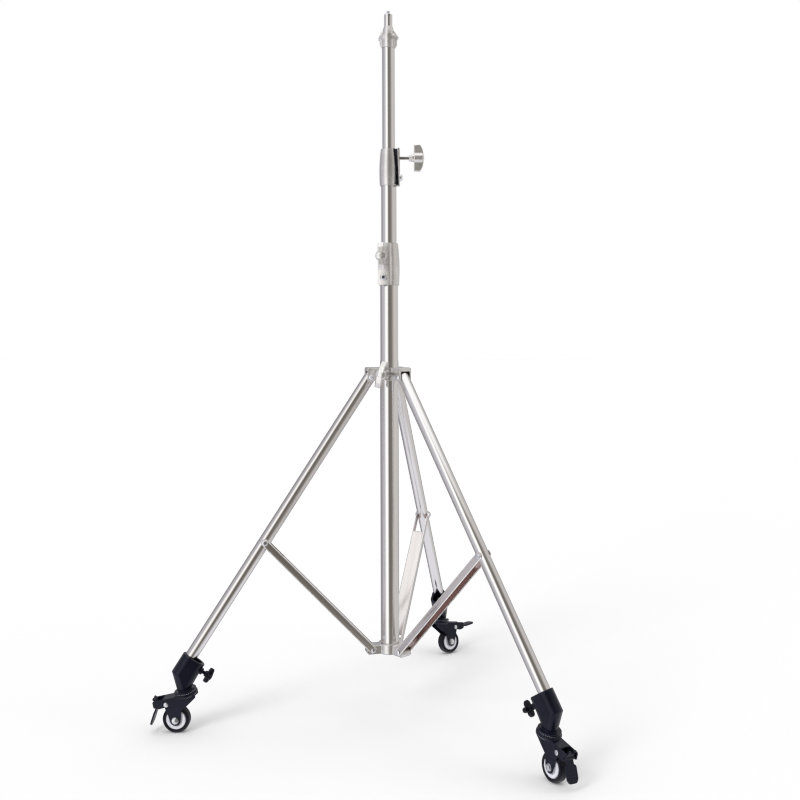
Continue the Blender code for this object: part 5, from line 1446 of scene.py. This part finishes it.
def world():
    """A pale studio: bright to the camera's left, dark behind it, white above and pale below."""
    made = bpy.data.worlds.new("studio")
    bpy.context.scene.world = made
    made.use_nodes = True
    tree = made.node_tree
    tree.nodes.clear()
    where = put(tree, "ShaderNodeTexCoord")
    turned = put(tree, "ShaderNodeMapping", {"vector_type": "POINT"},
                 {"Rotation": Euler((0, 0, -radians(CAMERA_TURN)))}, {"Vector": where.outputs["Generated"]})
    parts = put(tree, "ShaderNodeSeparateXYZ", {}, {}, {"Vector": turned.outputs[0]})
    back = put(tree, "ShaderNodeMath", {"operation": "MULTIPLY"}, {1: -1.0}, {0: parts.outputs["Y"]})
    turn = put(tree, "ShaderNodeMath", {"operation": "ARCTAN2"}, {},
               {0: parts.outputs["X"], 1: back.outputs[0]})
    share = put(tree, "ShaderNodeMapRange", {}, {"From Min": -pi, "From Max": pi}, {"Value": turn.outputs[0]})
    ramp = put(tree, "ShaderNodeValToRGB", {}, {}, {"Fac": share.outputs[0]})
    elements = ramp.color_ramp.elements
    while len(elements) < len(WALL_STOPS):
        elements.new(0.5)
    for element, (angle, code) in zip(elements, WALL_STOPS):
        element.position = (angle + 180) / 360
        element.color = linear(code)
    overhead = put(tree, "ShaderNodeMapRange", {"interpolation_type": "SMOOTHSTEP"},
                   {"From Min": CEILING_FADE[0], "From Max": CEILING_FADE[1]}, {"Value": parts.outputs["Z"]})
    underneath = put(tree, "ShaderNodeMapRange", {"interpolation_type": "SMOOTHSTEP"},
                     {"From Min": FLOOR_FADE[0], "From Max": FLOOR_FADE[1]}, {"Value": parts.outputs["Z"]})
    ceiling = put(tree, "ShaderNodeMix", {"data_type": "RGBA"}, {7: linear("#F6F6F8")},
                  {0: overhead.outputs[0], 6: ramp.outputs["Color"]})
    room = put(tree, "ShaderNodeMix", {"data_type": "RGBA"}, {7: linear("#D6D6DC")},
               {0: underneath.outputs[0], 6: ceiling.outputs[2]})
    lit = put(tree, "ShaderNodeBackground", {}, {"Strength": ROOM_STRENGTH}, {"Color": room.outputs[2]})
    plain = put(tree, "ShaderNodeBackground", {}, {"Color": linear("#FFFFFF"), "Strength": 1.0})
    path = put(tree, "ShaderNodeLightPath")
    mixed = put(tree, "ShaderNodeMixShader", {}, {}, {0: path.outputs["Is Camera Ray"], 1: lit.outputs[0],
                                                      2: plain.outputs[0]})
    put(tree, "ShaderNodeOutputWorld", {}, {}, {"Surface": mixed.outputs[0]})


def floor():
    """A plain pale floor, which takes the stand's soft shadow."""
    made = bpy.data.meshes.new("floor")
    corners = [(x * FLOOR_HALF, y * FLOOR_HALF, 0) for x, y in ((-1, -1), (1, -1), (1, 1), (-1, 1))]
    made.from_pydata(corners, [], [(0, 1, 2, 3)])
    obj = bpy.data.objects.new("floor", made)
    bpy.context.scene.collection.objects.link(obj)
    material, _, shader = new_finish("pale_floor")
    shader.inputs["Base Color"].default_value = linear("#F4F4F4")
    shader.inputs["Roughness"].default_value = 0.9
    made.materials.append(material)
    obj.is_shadow_catcher = True
    obj.visible_glossy = False


def soft_light(name, turn, distance, height, size, power, aim):
    """A softbox that looks at the column at the height 'aim', 'turn' degrees round from the camera."""
    data = bpy.data.lights.new(name, "AREA")
    data.shape = "RECTANGLE"
    data.size, data.size_y = size
    data.energy = power
    obj = bpy.data.objects.new(name, data)
    bpy.context.scene.collection.objects.link(obj)
    angle = radians(CAMERA_TURN + turn)
    spot = column_foot + Vector((sin(angle) * distance, -cos(angle) * distance, height))
    obj.visible_glossy = False
    obj.location = spot
    obj.rotation_euler = (column_foot + UP * aim - spot).to_track_quat("-Z", "Y").to_euler()


def camera():
    """The photograph's view of the stand."""
    data = bpy.data.cameras.new("camera")
    data.lens = CAMERA_LENS
    data.shift_y = CAMERA_SHIFT
    obj = bpy.data.objects.new("camera", data)
    bpy.context.scene.collection.objects.link(obj)
    turn = Matrix.Rotation(radians(CAMERA_TURN), 3, "Z")
    yaw, roll = radians(CAMERA_YAW), radians(-CAMERA_ROLL)
    right = turn @ Vector((cos(yaw), -sin(yaw), 0))
    ahead = turn @ Vector((sin(yaw), cos(yaw), 0))
    level = right * cos(roll) + UP * sin(roll)
    upward = UP * cos(roll) - right * sin(roll)
    place = Matrix((level, upward, -ahead)).transposed().to_4x4()
    place.translation = column_foot + turn @ Vector((0, -CAMERA_DISTANCE, 0)) + UP * CAMERA_HEIGHT
    obj.matrix_world = place
    bpy.context.scene.camera = obj


def build():
    tubes, balls, ribs = tube_tree(), ball_ring_tree(), rib_tree()
    column_tubes(tubes)
    collar("lower", "lower_knob_turn", "base", "base_tube", "mid_riser_tube")
    collar("upper", "upper_knob_turn", "mid_riser", "mid_riser_tube", "top_riser_tube")
    clamp_knob("lower", "lower_knob_turn", "lower_knob", "lower_clamp_knob")
    clamp_knob("upper", "upper_knob_turn", "upper_knob", "upper_clamp_knob")
    clamp_knob("crown", "crown_knob_turn", "crown_knob", "crown_knob")
    head()
    crown()
    hub()
    for side in SIDES:
        leg(side, tubes)
        brace(side)
        socket(side)
        thumb_knob(side)
        fork(side, balls)
        wheel(side)
        pedal(side, ribs)


build()
world()
floor()
soft_light("key_light", turn=-38.0, distance=2.6, height=1.9, size=(0.9, 1.6), power=28.0, aim=0.75)
soft_light("fill_light", turn=75.0, distance=3.0, height=1.4, size=(1.4, 1.4), power=10.0, aim=0.6)
camera()
bpy.context.scene.view_settings.view_transform = "Standard"
